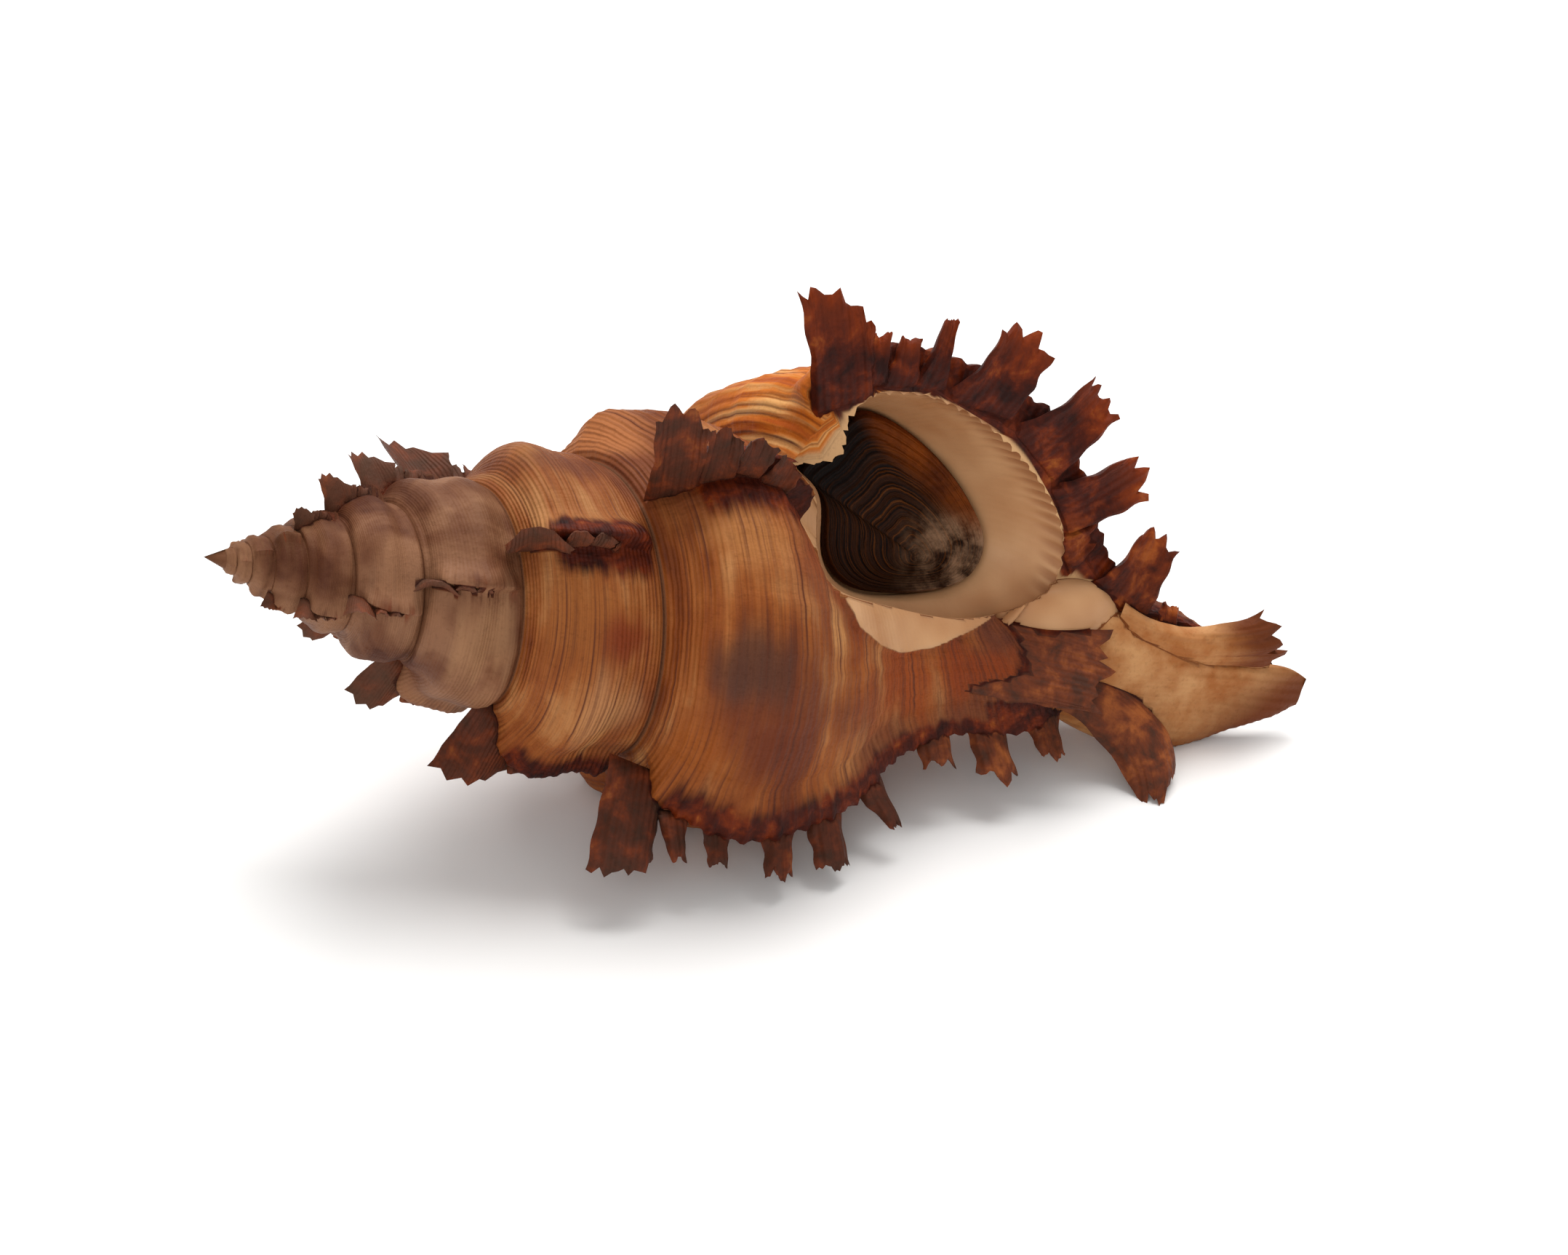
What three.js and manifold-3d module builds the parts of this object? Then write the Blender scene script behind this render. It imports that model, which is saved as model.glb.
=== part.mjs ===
// A murex shell, grown in one piece, and the horny operculum that closes its mouth.
// Millimetres. The shell is drawn with its axis along X, the apex at x = 0, and is then laid down on the
// varices that carry it: +Z is up, the base is z = 0 and the mouth faces -Y.
import * as THREE from "three";
import { mergeVertices } from "three/addons/utils/BufferGeometryUtils.js";
import Module from "manifold-3d";

const wasm = await Module();
wasm.setup();

// ---- driving dimensions ----
// The shell grows as a spiral, so every size below is the size at the lip, and what was made earlier is a
// smaller copy of it. [along, out] pairs are distances along the axis and out from it.
const LENGTH = 72; // from the apex to the tip of the siphonal canal
const WHORL_GROWTH = 1.461; // how much everything grows in one full turn
const WHORLS = 6;
const COLUMNS = 32; // steps round one whorl
const VARIX_STEP = 10; // columns from one varix to the next
const SPIRE_VARICES = 9; // of the varices before the last three, how many still carry fronds
const LIP_ANGLE = 64.7; // degrees round the axis
const SUTURE = [33, 8.8]; // where the last whorl joins the one before it
const SHOULDER = [
  [32.6, 11.4],
  [33.6, 13.6],
  [36.5, 14.9],
  [41, 15.4],
  [45, 14.2],
];
const BASE = [
  [51, 10.8],
  [54, 8.6],
  [58, 6.9],
  [64, 5.8],
  [70, 3.6],
];
const LIP_BASE = [
  [51, 10],
  [54, 6.8],
  [58, 4.2],
  [64, 2.8],
  [70, 1.6],
];
const LIP_REACH = 7; // columns over which the base draws in to its shape at the lip
const BASE_TIP = 71; // where the base closes on the axis
const CREST = 2; // how far a varix stands out
const MOUTH_OUTLINE = [
  [36.6, 7.6],
  [40, 4.9],
  [44, 3.4],
  [50.5, 3.6],
  [52.6, 4.9],
  [51.8, 7.2],
  [49.3, 10.2],
  [45, 13.4],
  [41, 14.6],
  [37.5, 14.2],
  [35.2, 13],
  [34.4, 10.2],
];
const MOUTH_MIDDLE = [43.5, 8.8];
const MOUTH_COLUMNS = [-3.2, -2, -1, 0, 1, 3]; // the recess runs through these columns of the spiral
const MOUTH_FLARE = [-0.12, -0.1, -0.05, 0.02, 0.06, 0.16]; // how much wider the recess is at each of them
const OPERCULUM_COLUMN = -2.4;
const OPERCULUM_THICKNESS = 0.9;
const OPERCULUM_FLARE = -0.2; // it is a little smaller than the recess it sits in
const FROND_THICKNESS = 1.3;
const FROND_ROOT = 2.5; // how far a frond is rooted in its varix
const FROND_NOTCH = 1.2; // depth of the fork in its tip
// One frond of a varix: where it stands on the crest, from and to, then its two tips.
const SPIRE_FRONDS = [
  { from: [31.6, 15.2], to: [35.4, 16.4], tips: [[29.6, 20.2], [34.6, 20.4]] },
  { from: [38.4, 16.8], to: [40.8, 16.8], tips: [[39.2, 19.8], [40.6, 19.4]] },
  { from: [41.8, 16.6], to: [46.2, 15.6], tips: [[43.3, 20.2], [46, 19.8]] },
];
const LIP_FRONDS = [
  { from: [47.1, 14.6], to: [50.8, 11.9], tips: [[50.2, 17.6], [52.4, 15.6]] },
  { from: [51.2, 11.6], to: [53.2, 8.6], tips: [[54.4, 13], [56.6, 10.9]] },
  { from: [55.4, 6.2], to: [59.6, 4.2], tips: [[57.6, 8.6], [60, 8]] },
  { from: [63.5, 3.2], to: [69.5, 2], tips: [[66, 4.6], [71, 3.2]] },
];
// The varices before the lip stand further out on the base, and keep the spur of an old canal.
const OLD_FRONDS = [
  { from: [46.9, 15.6], to: [50.2, 13], tips: [[47.8, 19], [50.2, 18.4]] },
  { from: [50.5, 12.8], to: [52.8, 10.6], tips: [[53.2, 15.6], [54.6, 15]] },
  { from: [56, 9.4], to: [59.4, 8], tips: [[57.1, 11.6], [59.8, 11.2]] },
  { from: [60.6, 8], to: [64.2, 7.2], tips: [[61.8, 10.6], [65.2, 10.4]] },
  { from: [66, 6.8], to: [69.2, 5.6], tips: [[68, 8.9], [69.6, 7.8]] },
  { from: [69.8, 4.6], to: [73, 1.4], tips: [[76, 11.2], [79, 8.4]] },
];
// Cross-sections of the canal: along the axis, half width, half thickness, and offset towards the lip.
const CANAL_SECTIONS = [
  [38, 2.2, 2.2, 0],
  [46, 3.4, 2.8, -0.4],
  [54, 4.4, 2.8, -1],
  [61, 4.4, 2.2, -1],
  [66, 3.8, 1.6, -0.6],
  [70, 2.6, 1, 0],
  [LENGTH, 1.2, 0.5, 0.4],
];
const CANAL_SIDES = 10;
const REST_ROLL = -26.9; // degrees that lay the shell on its last whorl and its two old canals
const REST_PITCH = 13.8;
const WEAR = 0.3; // what is worn off where it lies

// ---- growth ----
const growth = (column) => WHORL_GROWTH ** (column / COLUMNS);
const angleOf = (column) => THREE.MathUtils.degToRad(LIP_ANGLE - (column * 360) / COLUMNS);

// The half-plane of the shell at one column: X along the axis, Y out from it and Z back round it, with
// the growth of that column as its scale.
function halfPlane(column) {
  const angle = angleOf(column);
  const outward = new THREE.Vector3(0, -Math.cos(angle), Math.sin(angle));
  const along = new THREE.Vector3(1, 0, 0);
  const scale = growth(column);
  return new THREE.Matrix4()
    .makeBasis(along, outward, along.clone().cross(outward))
    .scale(new THREE.Vector3(scale, scale, scale));
}

const inHalfPlane = (column, [along, out]) =>
  new THREE.Vector3(along, out, 0).applyMatrix4(halfPlane(column));

// ---- solids ----
function geometryFrom(points, triangles) {
  const positions = points.flatMap((point) => point.toArray());
  return new THREE.BufferGeometry()
    .setAttribute("position", new THREE.Float32BufferAttribute(positions, 3))
    .setIndex(triangles.flat());
}

const quad = (a, b, c, d) => [
  [a, b, c],
  [a, c, d],
];

function solid(geometry) {
  const bare = geometry.clone();
  bare.deleteAttribute("normal");
  bare.deleteAttribute("uv");
  const merged = mergeVertices(bare, 1e-4);
  const mesh = new wasm.Mesh({
    numProp: 3,
    vertProperties: merged.attributes.position.array,
    triVerts: new Uint32Array(merged.index.array),
  });
  return new wasm.Manifold(mesh);
}

function geometryOf(made) {
  const mesh = made.getMesh();
  return new THREE.BufferGeometry()
    .setAttribute("position", new THREE.BufferAttribute(mesh.vertProperties, 3))
    .setIndex(new THREE.BufferAttribute(mesh.triVerts, 1));
}

// The triangles that fill a flat outline, all counterclockwise.
function fill(outline) {
  const contour = outline.map(([x, y]) => new THREE.Vector2(x, y));
  return THREE.ShapeUtils.triangulateShape(contour, []).map((corners) => {
    const area = THREE.ShapeUtils.area(corners.map((corner) => contour[corner]));
    return area > 0 ? corners : corners.toReversed();
  });
}

// A closed tube through rings of points that all have the same outline, a list of [x, y] pairs.
function tubeThrough(rings, outline) {
  const sides = outline.length;
  const last = (rings.length - 1) * sides;
  const walls = rings.slice(1).flatMap((_, i) =>
    outline.flatMap((_, j) => {
      const next = (j + 1) % sides;
      const here = i * sides;
      const there = here + sides;
      return quad(here + j, here + next, there + next, there + j);
    }),
  );
  const ends = fill(outline).flatMap(([a, b, c]) => [
    [c, b, a],
    [last + a, last + b, last + c],
  ]);
  return geometryFrom(rings.flat(), [...walls, ...ends]);
}

// ---- the whorls ----
const SPIRE_PROFILE = [SUTURE, ...SHOULDER, SUTURE.map((size) => size * WHORL_GROWTH)];
const PROFILE_POINTS = SPIRE_PROFILE.length + BASE.length;
const FIRST_COLUMN = -WHORLS * COLUMNS;

// The outline of the whorl at one column, with the varix crest where a varix stands.
function whorlOutline(column) {
  const isVarix = column % VARIX_STEP === 0;
  const covered = column < -COLUMNS ? SPIRE_PROFILE.length - 1 : PROFILE_POINTS - 1;
  return profileAt(column).map(([along, out], i) => {
    const crest = isVarix && i > 1 && i < covered ? CREST : 0;
    return inHalfPlane(column, [along, out + crest]);
  });
}

// The outline of the whorl without its varices. Its base is slimmer at the lip.
function profileAt(column) {
  const share = Math.max(0, 1 + column / LIP_REACH);
  const base = BASE.map((point, i) =>
    point.map((size, axis) => size + (LIP_BASE[i][axis] - size) * share),
  );
  return [...SPIRE_PROFILE, ...base];
}

// The number of a point of the spiral. A whorl ends on the suture of the whorl after it.
function pointNumber(column, i) {
  const isOnNextSuture = i === SPIRE_PROFILE.length - 1 && column <= -COLUMNS;
  return isOnNextSuture
    ? pointNumber(column + COLUMNS, 0)
    : (column - FIRST_COLUMN) * PROFILE_POINTS + i;
}

// The outside of all the whorls as one closed body, from the apex to the flat wall at the lip.
function whorlsGeometry() {
  const points = [];
  for (let column = FIRST_COLUMN; column <= 0; column++) {
    points.push(...whorlOutline(column));
  }
  const apex = points.push(new THREE.Vector3()) - 1;
  const tip = points.push(new THREE.Vector3(BASE_TIP, 0, 0)) - 1;
  const triangles = [];
  for (let column = FIRST_COLUMN; column < 0; column++) {
    const at = (step, i) => pointNumber(column + step, i);
    const last = column < -COLUMNS ? SPIRE_PROFILE.length - 1 : PROFILE_POINTS - 1;
    for (let i = 0; i < last; i++) {
      triangles.push(...quad(at(0, i), at(1, i), at(1, i + 1), at(0, i + 1)));
    }
    if (column < FIRST_COLUMN + COLUMNS) {
      triangles.push([apex, at(1, 0), at(0, 0)]);
    }
    if (column >= -COLUMNS) {
      triangles.push([tip, at(0, last), at(1, last)]);
    }
  }
  for (let i = 0; i + 1 < SPIRE_PROFILE.length; i++) {
    triangles.push([apex, pointNumber(FIRST_COLUMN, i), pointNumber(FIRST_COLUMN, i + 1)]);
  }
  return geometryFrom(points, [...triangles, ...lipWall(tip)]);
}

// The flat wall at the lip, from the last whorl's outline in to the whorl before it.
function lipWall(tip) {
  const outer = profileAt(0).map((point, i) => ({ point, number: pointNumber(0, i) }));
  const inner = BASE.map((point, i) => ({
    point: point.map((size) => size / WHORL_GROWTH),
    number: pointNumber(-COLUMNS, SPIRE_PROFILE.length + i),
  }));
  const loop = [...outer, { point: [BASE_TIP, 0], number: tip }, ...inner.toReversed()];
  return fill(loop.map(({ point }) => point)).map((corners) =>
    corners.map((corner) => loop[corner].number),
  );
}

// ---- fronds ----
function frondGeometry(column, { from, to, tips }) {
  const fork = [
    (tips[0][0] + tips[1][0]) / 2,
    (tips[0][1] + tips[1][1]) / 2 - FROND_NOTCH,
  ];
  const rootFrom = [from[0], from[1] - FROND_ROOT];
  const rootTo = [to[0], to[1] - FROND_ROOT];
  const outline = [rootFrom, rootTo, to, tips[1], fork, tips[0], from];
  const shape = new THREE.Shape(outline.map(([along, out]) => new THREE.Vector2(along, out)));
  return new THREE.ExtrudeGeometry(shape, { depth: FROND_THICKNESS, bevelEnabled: false })
    .translate(0, 0, -FROND_THICKNESS / 2)
    .applyMatrix4(halfPlane(column));
}

// The lip and the two varices before it show their whole fringe. Further back, only what the next whorl
// hasn't covered shows.
function frondGeometries() {
  const fringes = [
    [...SPIRE_FRONDS, ...LIP_FRONDS],
    [...SPIRE_FRONDS, ...OLD_FRONDS],
    [...SPIRE_FRONDS, ...OLD_FRONDS],
    ...Array(SPIRE_VARICES).fill(SPIRE_FRONDS),
  ];
  return fringes.flatMap((fringe, number) =>
    fringe.map((frond) => frondGeometry(-number * VARIX_STEP, frond)),
  );
}

// ---- the siphonal canal ----
function canalGeometry() {
  const circle = Array.from({ length: CANAL_SIDES }, (_, i) => {
    const turn = (i * 2 * Math.PI) / CANAL_SIDES;
    return [Math.cos(turn), Math.sin(turn)];
  });
  const plane = halfPlane(0);
  const rings = CANAL_SECTIONS.map(([along, halfWidth, halfThickness, offset]) =>
    circle.map(([across, through]) =>
      new THREE.Vector3(
        along,
        across * halfWidth + offset,
        through * halfThickness,
      ).applyMatrix4(plane),
    ),
  );
  return tubeThrough(rings, circle);
}

// ---- the mouth and its operculum ----
// The mouth's outline, wider or narrower about its middle.
const flared = (flare) =>
  MOUTH_OUTLINE.map((point) =>
    point.map((size, axis) => MOUTH_MIDDLE[axis] + (size - MOUTH_MIDDLE[axis]) * (1 + flare)),
  );

const mouthGeometry = () =>
  tubeThrough(
    MOUTH_COLUMNS.map((column, i) =>
      flared(MOUTH_FLARE[i]).map((point) => inHalfPlane(column, point)),
    ),
    MOUTH_OUTLINE,
  );

function operculumGeometry() {
  const outline = flared(OPERCULUM_FLARE);
  const shape = new THREE.Shape(outline.map(([along, out]) => new THREE.Vector2(along, out)));
  return new THREE.ExtrudeGeometry(shape, { depth: OPERCULUM_THICKNESS, bevelEnabled: false })
    .translate(0, 0, -OPERCULUM_THICKNESS / 2)
    .applyMatrix4(halfPlane(OPERCULUM_COLUMN));
}

// ---- the whole part ----
const resting = new THREE.Matrix4()
  .makeRotationY(THREE.MathUtils.degToRad(REST_PITCH))
  .multiply(new THREE.Matrix4().makeRotationX(THREE.MathUtils.degToRad(REST_ROLL)));

// The grown shell, turned to lie down, with what it lies on worn flat at z = 0.
function restingShell() {
  let grown = solid(whorlsGeometry()).add(solid(canalGeometry()));
  for (const frond of frondGeometries()) {
    grown = grown.add(solid(frond));
  }
  const hollowed = geometryOf(grown.subtract(solid(mouthGeometry()))).applyMatrix4(resting);
  hollowed.computeBoundingBox();
  const { min, max } = hollowed.boundingBox;
  const toBase = new THREE.Vector3(-(min.x + max.x) / 2, -(min.y + max.y) / 2, -min.z - WEAR);
  const worn = new THREE.BoxGeometry(2 * LENGTH, 2 * LENGTH, LENGTH).translate(0, 0, -LENGTH / 2);
  const made = solid(hollowed.translate(...toBase)).subtract(solid(worn));
  return { geometry: geometryOf(made), toBase };
}

const { geometry: shellGeometry, toBase } = restingShell();
const shell = new THREE.Mesh(
  shellGeometry,
  new THREE.MeshStandardMaterial({ color: 0xa9713f, roughness: 0.6, metalness: 0 }),
);
shell.name = "shell";

const operculum = new THREE.Mesh(
  operculumGeometry(),
  new THREE.MeshStandardMaterial({ color: 0x2f2114, roughness: 0.5, metalness: 0 }),
);
operculum.name = "operculum";
operculum.applyMatrix4(resting);
operculum.position.add(toBase);

const murex = new THREE.Group();
murex.add(shell, operculum);
export default murex;
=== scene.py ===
import bpy
import numpy as np
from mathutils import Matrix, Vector


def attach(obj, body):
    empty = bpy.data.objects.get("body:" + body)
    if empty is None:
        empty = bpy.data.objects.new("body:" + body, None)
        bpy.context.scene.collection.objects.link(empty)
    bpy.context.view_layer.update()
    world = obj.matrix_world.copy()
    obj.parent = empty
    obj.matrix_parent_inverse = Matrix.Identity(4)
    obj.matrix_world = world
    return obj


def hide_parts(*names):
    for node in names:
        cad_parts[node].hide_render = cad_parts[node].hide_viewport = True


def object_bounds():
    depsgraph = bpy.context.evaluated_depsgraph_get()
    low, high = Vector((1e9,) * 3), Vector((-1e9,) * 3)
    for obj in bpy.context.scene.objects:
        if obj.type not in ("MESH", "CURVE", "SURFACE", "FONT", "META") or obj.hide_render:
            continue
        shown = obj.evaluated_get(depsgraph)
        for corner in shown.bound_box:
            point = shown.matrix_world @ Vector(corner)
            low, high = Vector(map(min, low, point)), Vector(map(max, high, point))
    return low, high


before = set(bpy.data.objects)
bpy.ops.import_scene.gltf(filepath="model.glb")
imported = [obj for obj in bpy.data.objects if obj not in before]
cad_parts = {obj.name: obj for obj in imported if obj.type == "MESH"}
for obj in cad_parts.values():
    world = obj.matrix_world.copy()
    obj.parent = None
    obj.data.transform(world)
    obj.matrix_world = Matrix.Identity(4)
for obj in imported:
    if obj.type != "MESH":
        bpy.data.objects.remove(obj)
cad_box = [list(corner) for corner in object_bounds()]

# ------------------------------
# The whorls
# The real piece is one coiled tube of shell, laid down at its lip. Each turn is 1.461 times the size of
# the one before. Points are worked out at the lip's size, as a distance along the axis from the apex and
# a distance out from it, in millimetres, and are then shrunk by the growth since.
# ------------------------------
MM = 0.001
GROWTH = 1.461                      # per whorl
WHORLS = 9                          # how many are drawn
LIP_ANGLE = np.radians(64.7)        # where the lip stands round the axis
VARIX_STEP = 0.3125                 # whorls from one varix to the next
LAID_ROLL = np.radians(-26.9)       # turns that lay the shell down, as in the frame
LAID_PITCH = np.radians(13.8)
APEX_AT = np.array([cad_box[0][0] / MM, -2.365, 20.262])
SPIRE_LEAN = 0.75                   # how far the apex sinks below the axis
LEAN_FROM = 36.0                    # and where along the axis that begins
SWELL = [(0.0, 4.0, 9.0, 15.0, 21.0, 28.0, 34.0),        # the spire is a little stouter than its growth
         (1.42, 1.36, 1.24, 1.17, 1.1, 1.03, 1.0)]       # gives: along the axis, and how much

SUTURE = (33.0, 8.8)
RAMP = [SUTURE, (32.75, 10.4), (32.9, 12.2), (33.7, 13.7), (35.4, 14.7), (38.0, 15.35), (41.0, 15.45),
        (43.6, 14.95), (46.2, 13.95), (SUTURE[0] * GROWTH, SUTURE[1] * GROWTH)]
SPIRE_RAMP = [SUTURE, (33.7, 10.3), (34.7, 11.9), (35.9, 13.3), (37.5, 14.5), (39.4, 15.25), (41.4, 15.45),
              (43.8, 15.05), (46.2, 14.0), (SUTURE[0] * GROWTH, SUTURE[1] * GROWTH)]
BASE = [(51.0, 10.9), (54.0, 8.7), (58.0, 7.0), (64.0, 5.9), (68.5, 4.4), (70.6, 2.2), (71.0, 0.0)]
LIP_BASE = [(50.8, 10.2), (53.6, 7.0), (57.5, 4.4), (63.0, 3.0), (67.5, 2.0), (70.0, 1.0), (71.0, 0.0)]
FILL = 1.5                          # how far the valley at an old suture is filled
PRESS = 2.6                         # how far the mouth's side of the whorl is hollowed
LIP_REACH = 0.22                    # whorls over which the base draws in to its shape at the lip
RAMP_ROWS = 70
BASE_ROWS = 76
LAST_COLUMNS = 205                  # round the last whorl
FEWER = 0.7                         # columns in each whorl before it, as a share
FEWEST = 22                         # but no fewer than this

CREST = 2.2                         # how far a varix stands out
CREST_BACK = 0.008                  # whorls from the crest of a varix to its foot in front
CREST_RISE = 0.05                   # and behind it
NODES = np.array([0.6, 1.7, 0.9, 1.6, 0.9, 0.7, 0.3] + 16 * [0.5])    # knobs halfway between two varices
NODE_SIZE = (0.035, 3.0)            # whorls, and along the profile
NODE_AT = 6.0
CORD_STEP = 1.22                    # spiral cords, from one to the next
CORD_HEIGHT = 0.075
GROWTH_LINE_HEIGHT = 0.05
CALLUS_HEIGHT = 0.3                 # the smooth layer laid on the whorl in front of the mouth
CALLUS_EDGE = [(30.0, 40.0), (33.0, 9.0), (33.8, 3.6), (34.6, 1.6), (36.0, 0.0), (38.0, -0.85),
               (40.5, -1.15), (43.2, -0.6), (46.0, 0.6), (48.5, 1.9), (50.2, 3.5), (52.0, 9.0)]


def smooth(low, high, x):
    """0 below low and 1 above high, with an S curve between them."""
    s = np.clip((x - low) / (high - low), 0.0, 1.0)
    return s * s * (3.0 - 2.0 * s)


def bell(x, middle, width):
    """1 at the middle, falling off as a Gaussian."""
    return np.exp(-((x - middle) / width) ** 2)


def lengths(points):
    """How far along the straight lines between the points each point is."""
    steps = np.diff(np.asarray(points, float), axis=0)
    return np.concatenate([[0.0], np.cumsum(np.linalg.norm(steps, axis=1))])


def curve(points, at):
    """A natural cubic spline through points, read at distances along the lines between them."""
    p = np.asarray(points, float)
    d = lengths(p)
    h = np.diff(d)
    n = len(p)
    system = np.eye(n)
    right = np.zeros((n, p.shape[1]))
    for i in range(1, n - 1):
        system[i, i - 1:i + 2] = h[i - 1], 2.0 * (h[i - 1] + h[i]), h[i]
        right[i] = 6.0 * ((p[i + 1] - p[i]) / h[i] - (p[i] - p[i - 1]) / h[i - 1])
    bend = np.linalg.solve(system, right)
    x = np.asarray(at, float)
    k = np.clip(np.searchsorted(d, x, side="right") - 1, 0, n - 2)
    a = (d[k + 1] - x)[..., None]
    b = (x - d[k])[..., None]
    w = h[k][..., None]
    return (bend[k] * a ** 3 + bend[k + 1] * b ** 3) / (6.0 * w) \
        + (p[k] / w - bend[k] * w / 6.0) * a + (p[k + 1] / w - bend[k + 1] * w / 6.0) * b


def laid(along, out, ahead, turn):
    """Where a point of the shell is, in metres. Its distances along the axis, out from it and ahead round it
    shrink by the growth since its turn, and stand in the half-plane of that turn. The spire sinks by its
    lean, a power of the distance from where it begins, and the whole is rolled and pitched as it lies."""
    x, y, z = drawn(along, out, ahead, turn)
    return rolled(x, y, z)


def drawn(along, out, ahead, turn):
    """The same point before it is laid down: along the axis, back from it and up. Sizes are powers of the
    growth, angles fall by a full circle a whorl, and the spire's widths are multiplied by its swell."""
    size = GROWTH ** np.asarray(turn, float)
    angle = LIP_ANGLE - 2.0 * np.pi * np.asarray(turn, float)
    x = size * along
    size = size * np.interp(x, *SWELL)
    y = -size * (out * np.cos(angle) + ahead * np.sin(angle))
    z = size * (out * np.sin(angle) - ahead * np.cos(angle))
    return x, y, z


def rolled(x, y, z):
    """A drawn point sunk by the spire's lean, rolled, pitched and put in its place, in metres."""
    z = z - SPIRE_LEAN * np.clip(1.0 - x / LEAN_FROM, 0.0, None) ** 1.5
    y, z = y * np.cos(LAID_ROLL) - z * np.sin(LAID_ROLL), y * np.sin(LAID_ROLL) + z * np.cos(LAID_ROLL)
    x, z = x * np.cos(LAID_PITCH) + z * np.sin(LAID_PITCH), z * np.cos(LAID_PITCH) - x * np.sin(LAID_PITCH)
    return MM * (np.stack(np.broadcast_arrays(x, y, z), axis=-1) + APEX_AT)


def from_varix(turn):
    """How many whorls past the nearest varix a turn is, below nothing before it."""
    return (np.mod(turn / VARIX_STEP + 0.5, 1.0) - 0.5) * VARIX_STEP


def columns_between(start, end, count):
    """count turns from start up to end, spaced evenly under a weight that is heavier at the varices."""
    fine = np.linspace(start, end, 6000)
    weight = 1.0 + 2.6 * bell(from_varix(fine), -0.012, 0.018)
    total = np.concatenate([[0.0], np.cumsum(0.5 * (weight[1:] + weight[:-1]))])
    return np.interp(np.linspace(0.0, total[-1], count + 1)[:-1], total, fine)


def open_base(turn):
    """0 where the next whorl covers what is below the ramp, and 1 where it is free, a fifth of a whorl on."""
    return smooth(-0.94, -0.8, turn)


def lip_share(turn):
    """How far the profile has drawn in to the lip's, an S curve over the lip's reach."""
    return smooth(-LIP_REACH, 0.0, turn)


def crest(length, turn):
    """Height of the varices: a slow rise and a steep fall round the whorl, times how much of a varix there
    is at that place on the profile."""
    past = from_varix(turn)
    rise = smooth(-CREST_RISE, -CREST_BACK, past) ** 1.4 * (1.0 - smooth(-CREST_BACK, 0.0, past))
    part = smooth(2.0, 6.0, length) * (1.0 - 0.5 * smooth(22.0, 34.0, length))
    part = part * (1.0 - (1.0 - open_base(turn)) * smooth(17.0, 20.4, length))
    part = part * (1.0 - smooth(32.0, 37.0, length) * smooth(-0.1, -0.03, turn))
    return rise * part


def stained(length, turn):
    """Where a varix is dark: from behind its crest to a little past its foot, wider on the older ones and by
    the canal, fainter on the spire, and from the shoulder on."""
    past = from_varix(turn)
    older = smooth(-0.3, -0.8, turn)
    along = smooth(-0.032 - 0.02 * older, -0.012, past) * (1.0 - smooth(0.0, 0.03 + 0.03 * older, past))
    along = np.maximum(along, smooth(-0.1, -0.05, past) * smooth(34.0, 39.0, length) * (past <= 0.0))
    along = along * (1.0 - 0.6 * smooth(-2.05, -2.25, turn))
    return along * smooth(4.0, 7.5, length) * (1.0 - (1.0 - open_base(turn)) * smooth(18.0, 20.4, length))


def relief(length, turn):
    """What stands out from the plain profile: the varices, a knob and a low fold between them, spiral cords
    as cosines of the length, growth lines as sines of the turn, and a slow unevenness. All of it dies out at
    a suture."""
    past = np.abs(from_varix(turn))
    knob = bell(past, VARIX_STEP / 2.0, NODE_SIZE[0]) * bell(length, NODE_AT, NODE_SIZE[1])
    fold = bell(past, VARIX_STEP / 2.0, 0.05) * bell(length, 13.0, 6.0)
    cord = 0.65 * np.cos(2.0 * np.pi * length / CORD_STEP) + 0.35 * np.cos(np.pi * length / CORD_STEP)
    cord = CORD_HEIGHT * cord * (1.0 + 2.0 * crest(length, turn))
    lines = np.sin(2.0 * np.pi * (31.0 * turn + 0.35 * np.sin(9.0 * turn) + 0.02 * length)) \
        + 0.6 * np.sin(2.0 * np.pi * (53.0 * turn + 0.4 * np.sin(5.0 * turn)))
    wave = 0.16 * np.sin(5.1 * turn * np.pi + 0.31 * length) + 0.12 * np.sin(11.3 * turn + 0.7 * length)
    wave = wave * (1.0 + 1.6 * smooth(-1.0, -1.8, turn))
    high = NODES[np.clip(-turn / VARIX_STEP, 0.0, len(NODES) - 1.0).astype(int)]
    fine = 1.0 - 0.65 * smooth(-1.1, -1.9, turn)
    shape = CREST * crest(length, turn) + high * (knob + 0.35 * fold) + wave \
        + fine * (cord + GROWTH_LINE_HEIGHT * lines)
    covered = (1.0 - open_base(turn)) * smooth(ramp_length - 2.0, ramp_length, length)
    edge = smooth(0.0, 1.5, length) * (1.0 - covered)
    return shape * edge * (1.0 - smooth(44.0, 48.0, length))


def callus_cover(along, out, turn):
    """1 under the callus: the part of the last whorl but one in front of the mouth that stands, as drawn,
    above a curved edge, a spline of the distance along the axis."""
    x, y, z = drawn(along, out, 0.0, turn)
    above = z - np.interp(x, *np.transpose(CALLUS_EDGE))
    return smooth(-0.3, 0.3, above) * (turn < -0.72) * (y < 0.0)


ramp_length = lengths(RAMP)[-1]
old_profile = RAMP + BASE
lip_profile = RAMP + LIP_BASE
whole = lengths(old_profile)[-1]
lip_whole = lengths(lip_profile)[-1]
rows = np.concatenate([np.linspace(0.0, ramp_length, RAMP_ROWS + 1),
                       np.linspace(ramp_length, whole, BASE_ROWS + 1)[1:]])
lip_rows = np.concatenate([rows[:RAMP_ROWS + 1], np.linspace(ramp_length, lip_whole, BASE_ROWS + 1)[1:]])
turns = [columns_between(-whorl, 1 - whorl, max(FEWEST, round(LAST_COLUMNS * FEWER ** (whorl - 1))))
         for whorl in range(WHORLS, 0, -1)]
turns = np.concatenate(turns + [[0.0]])


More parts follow.
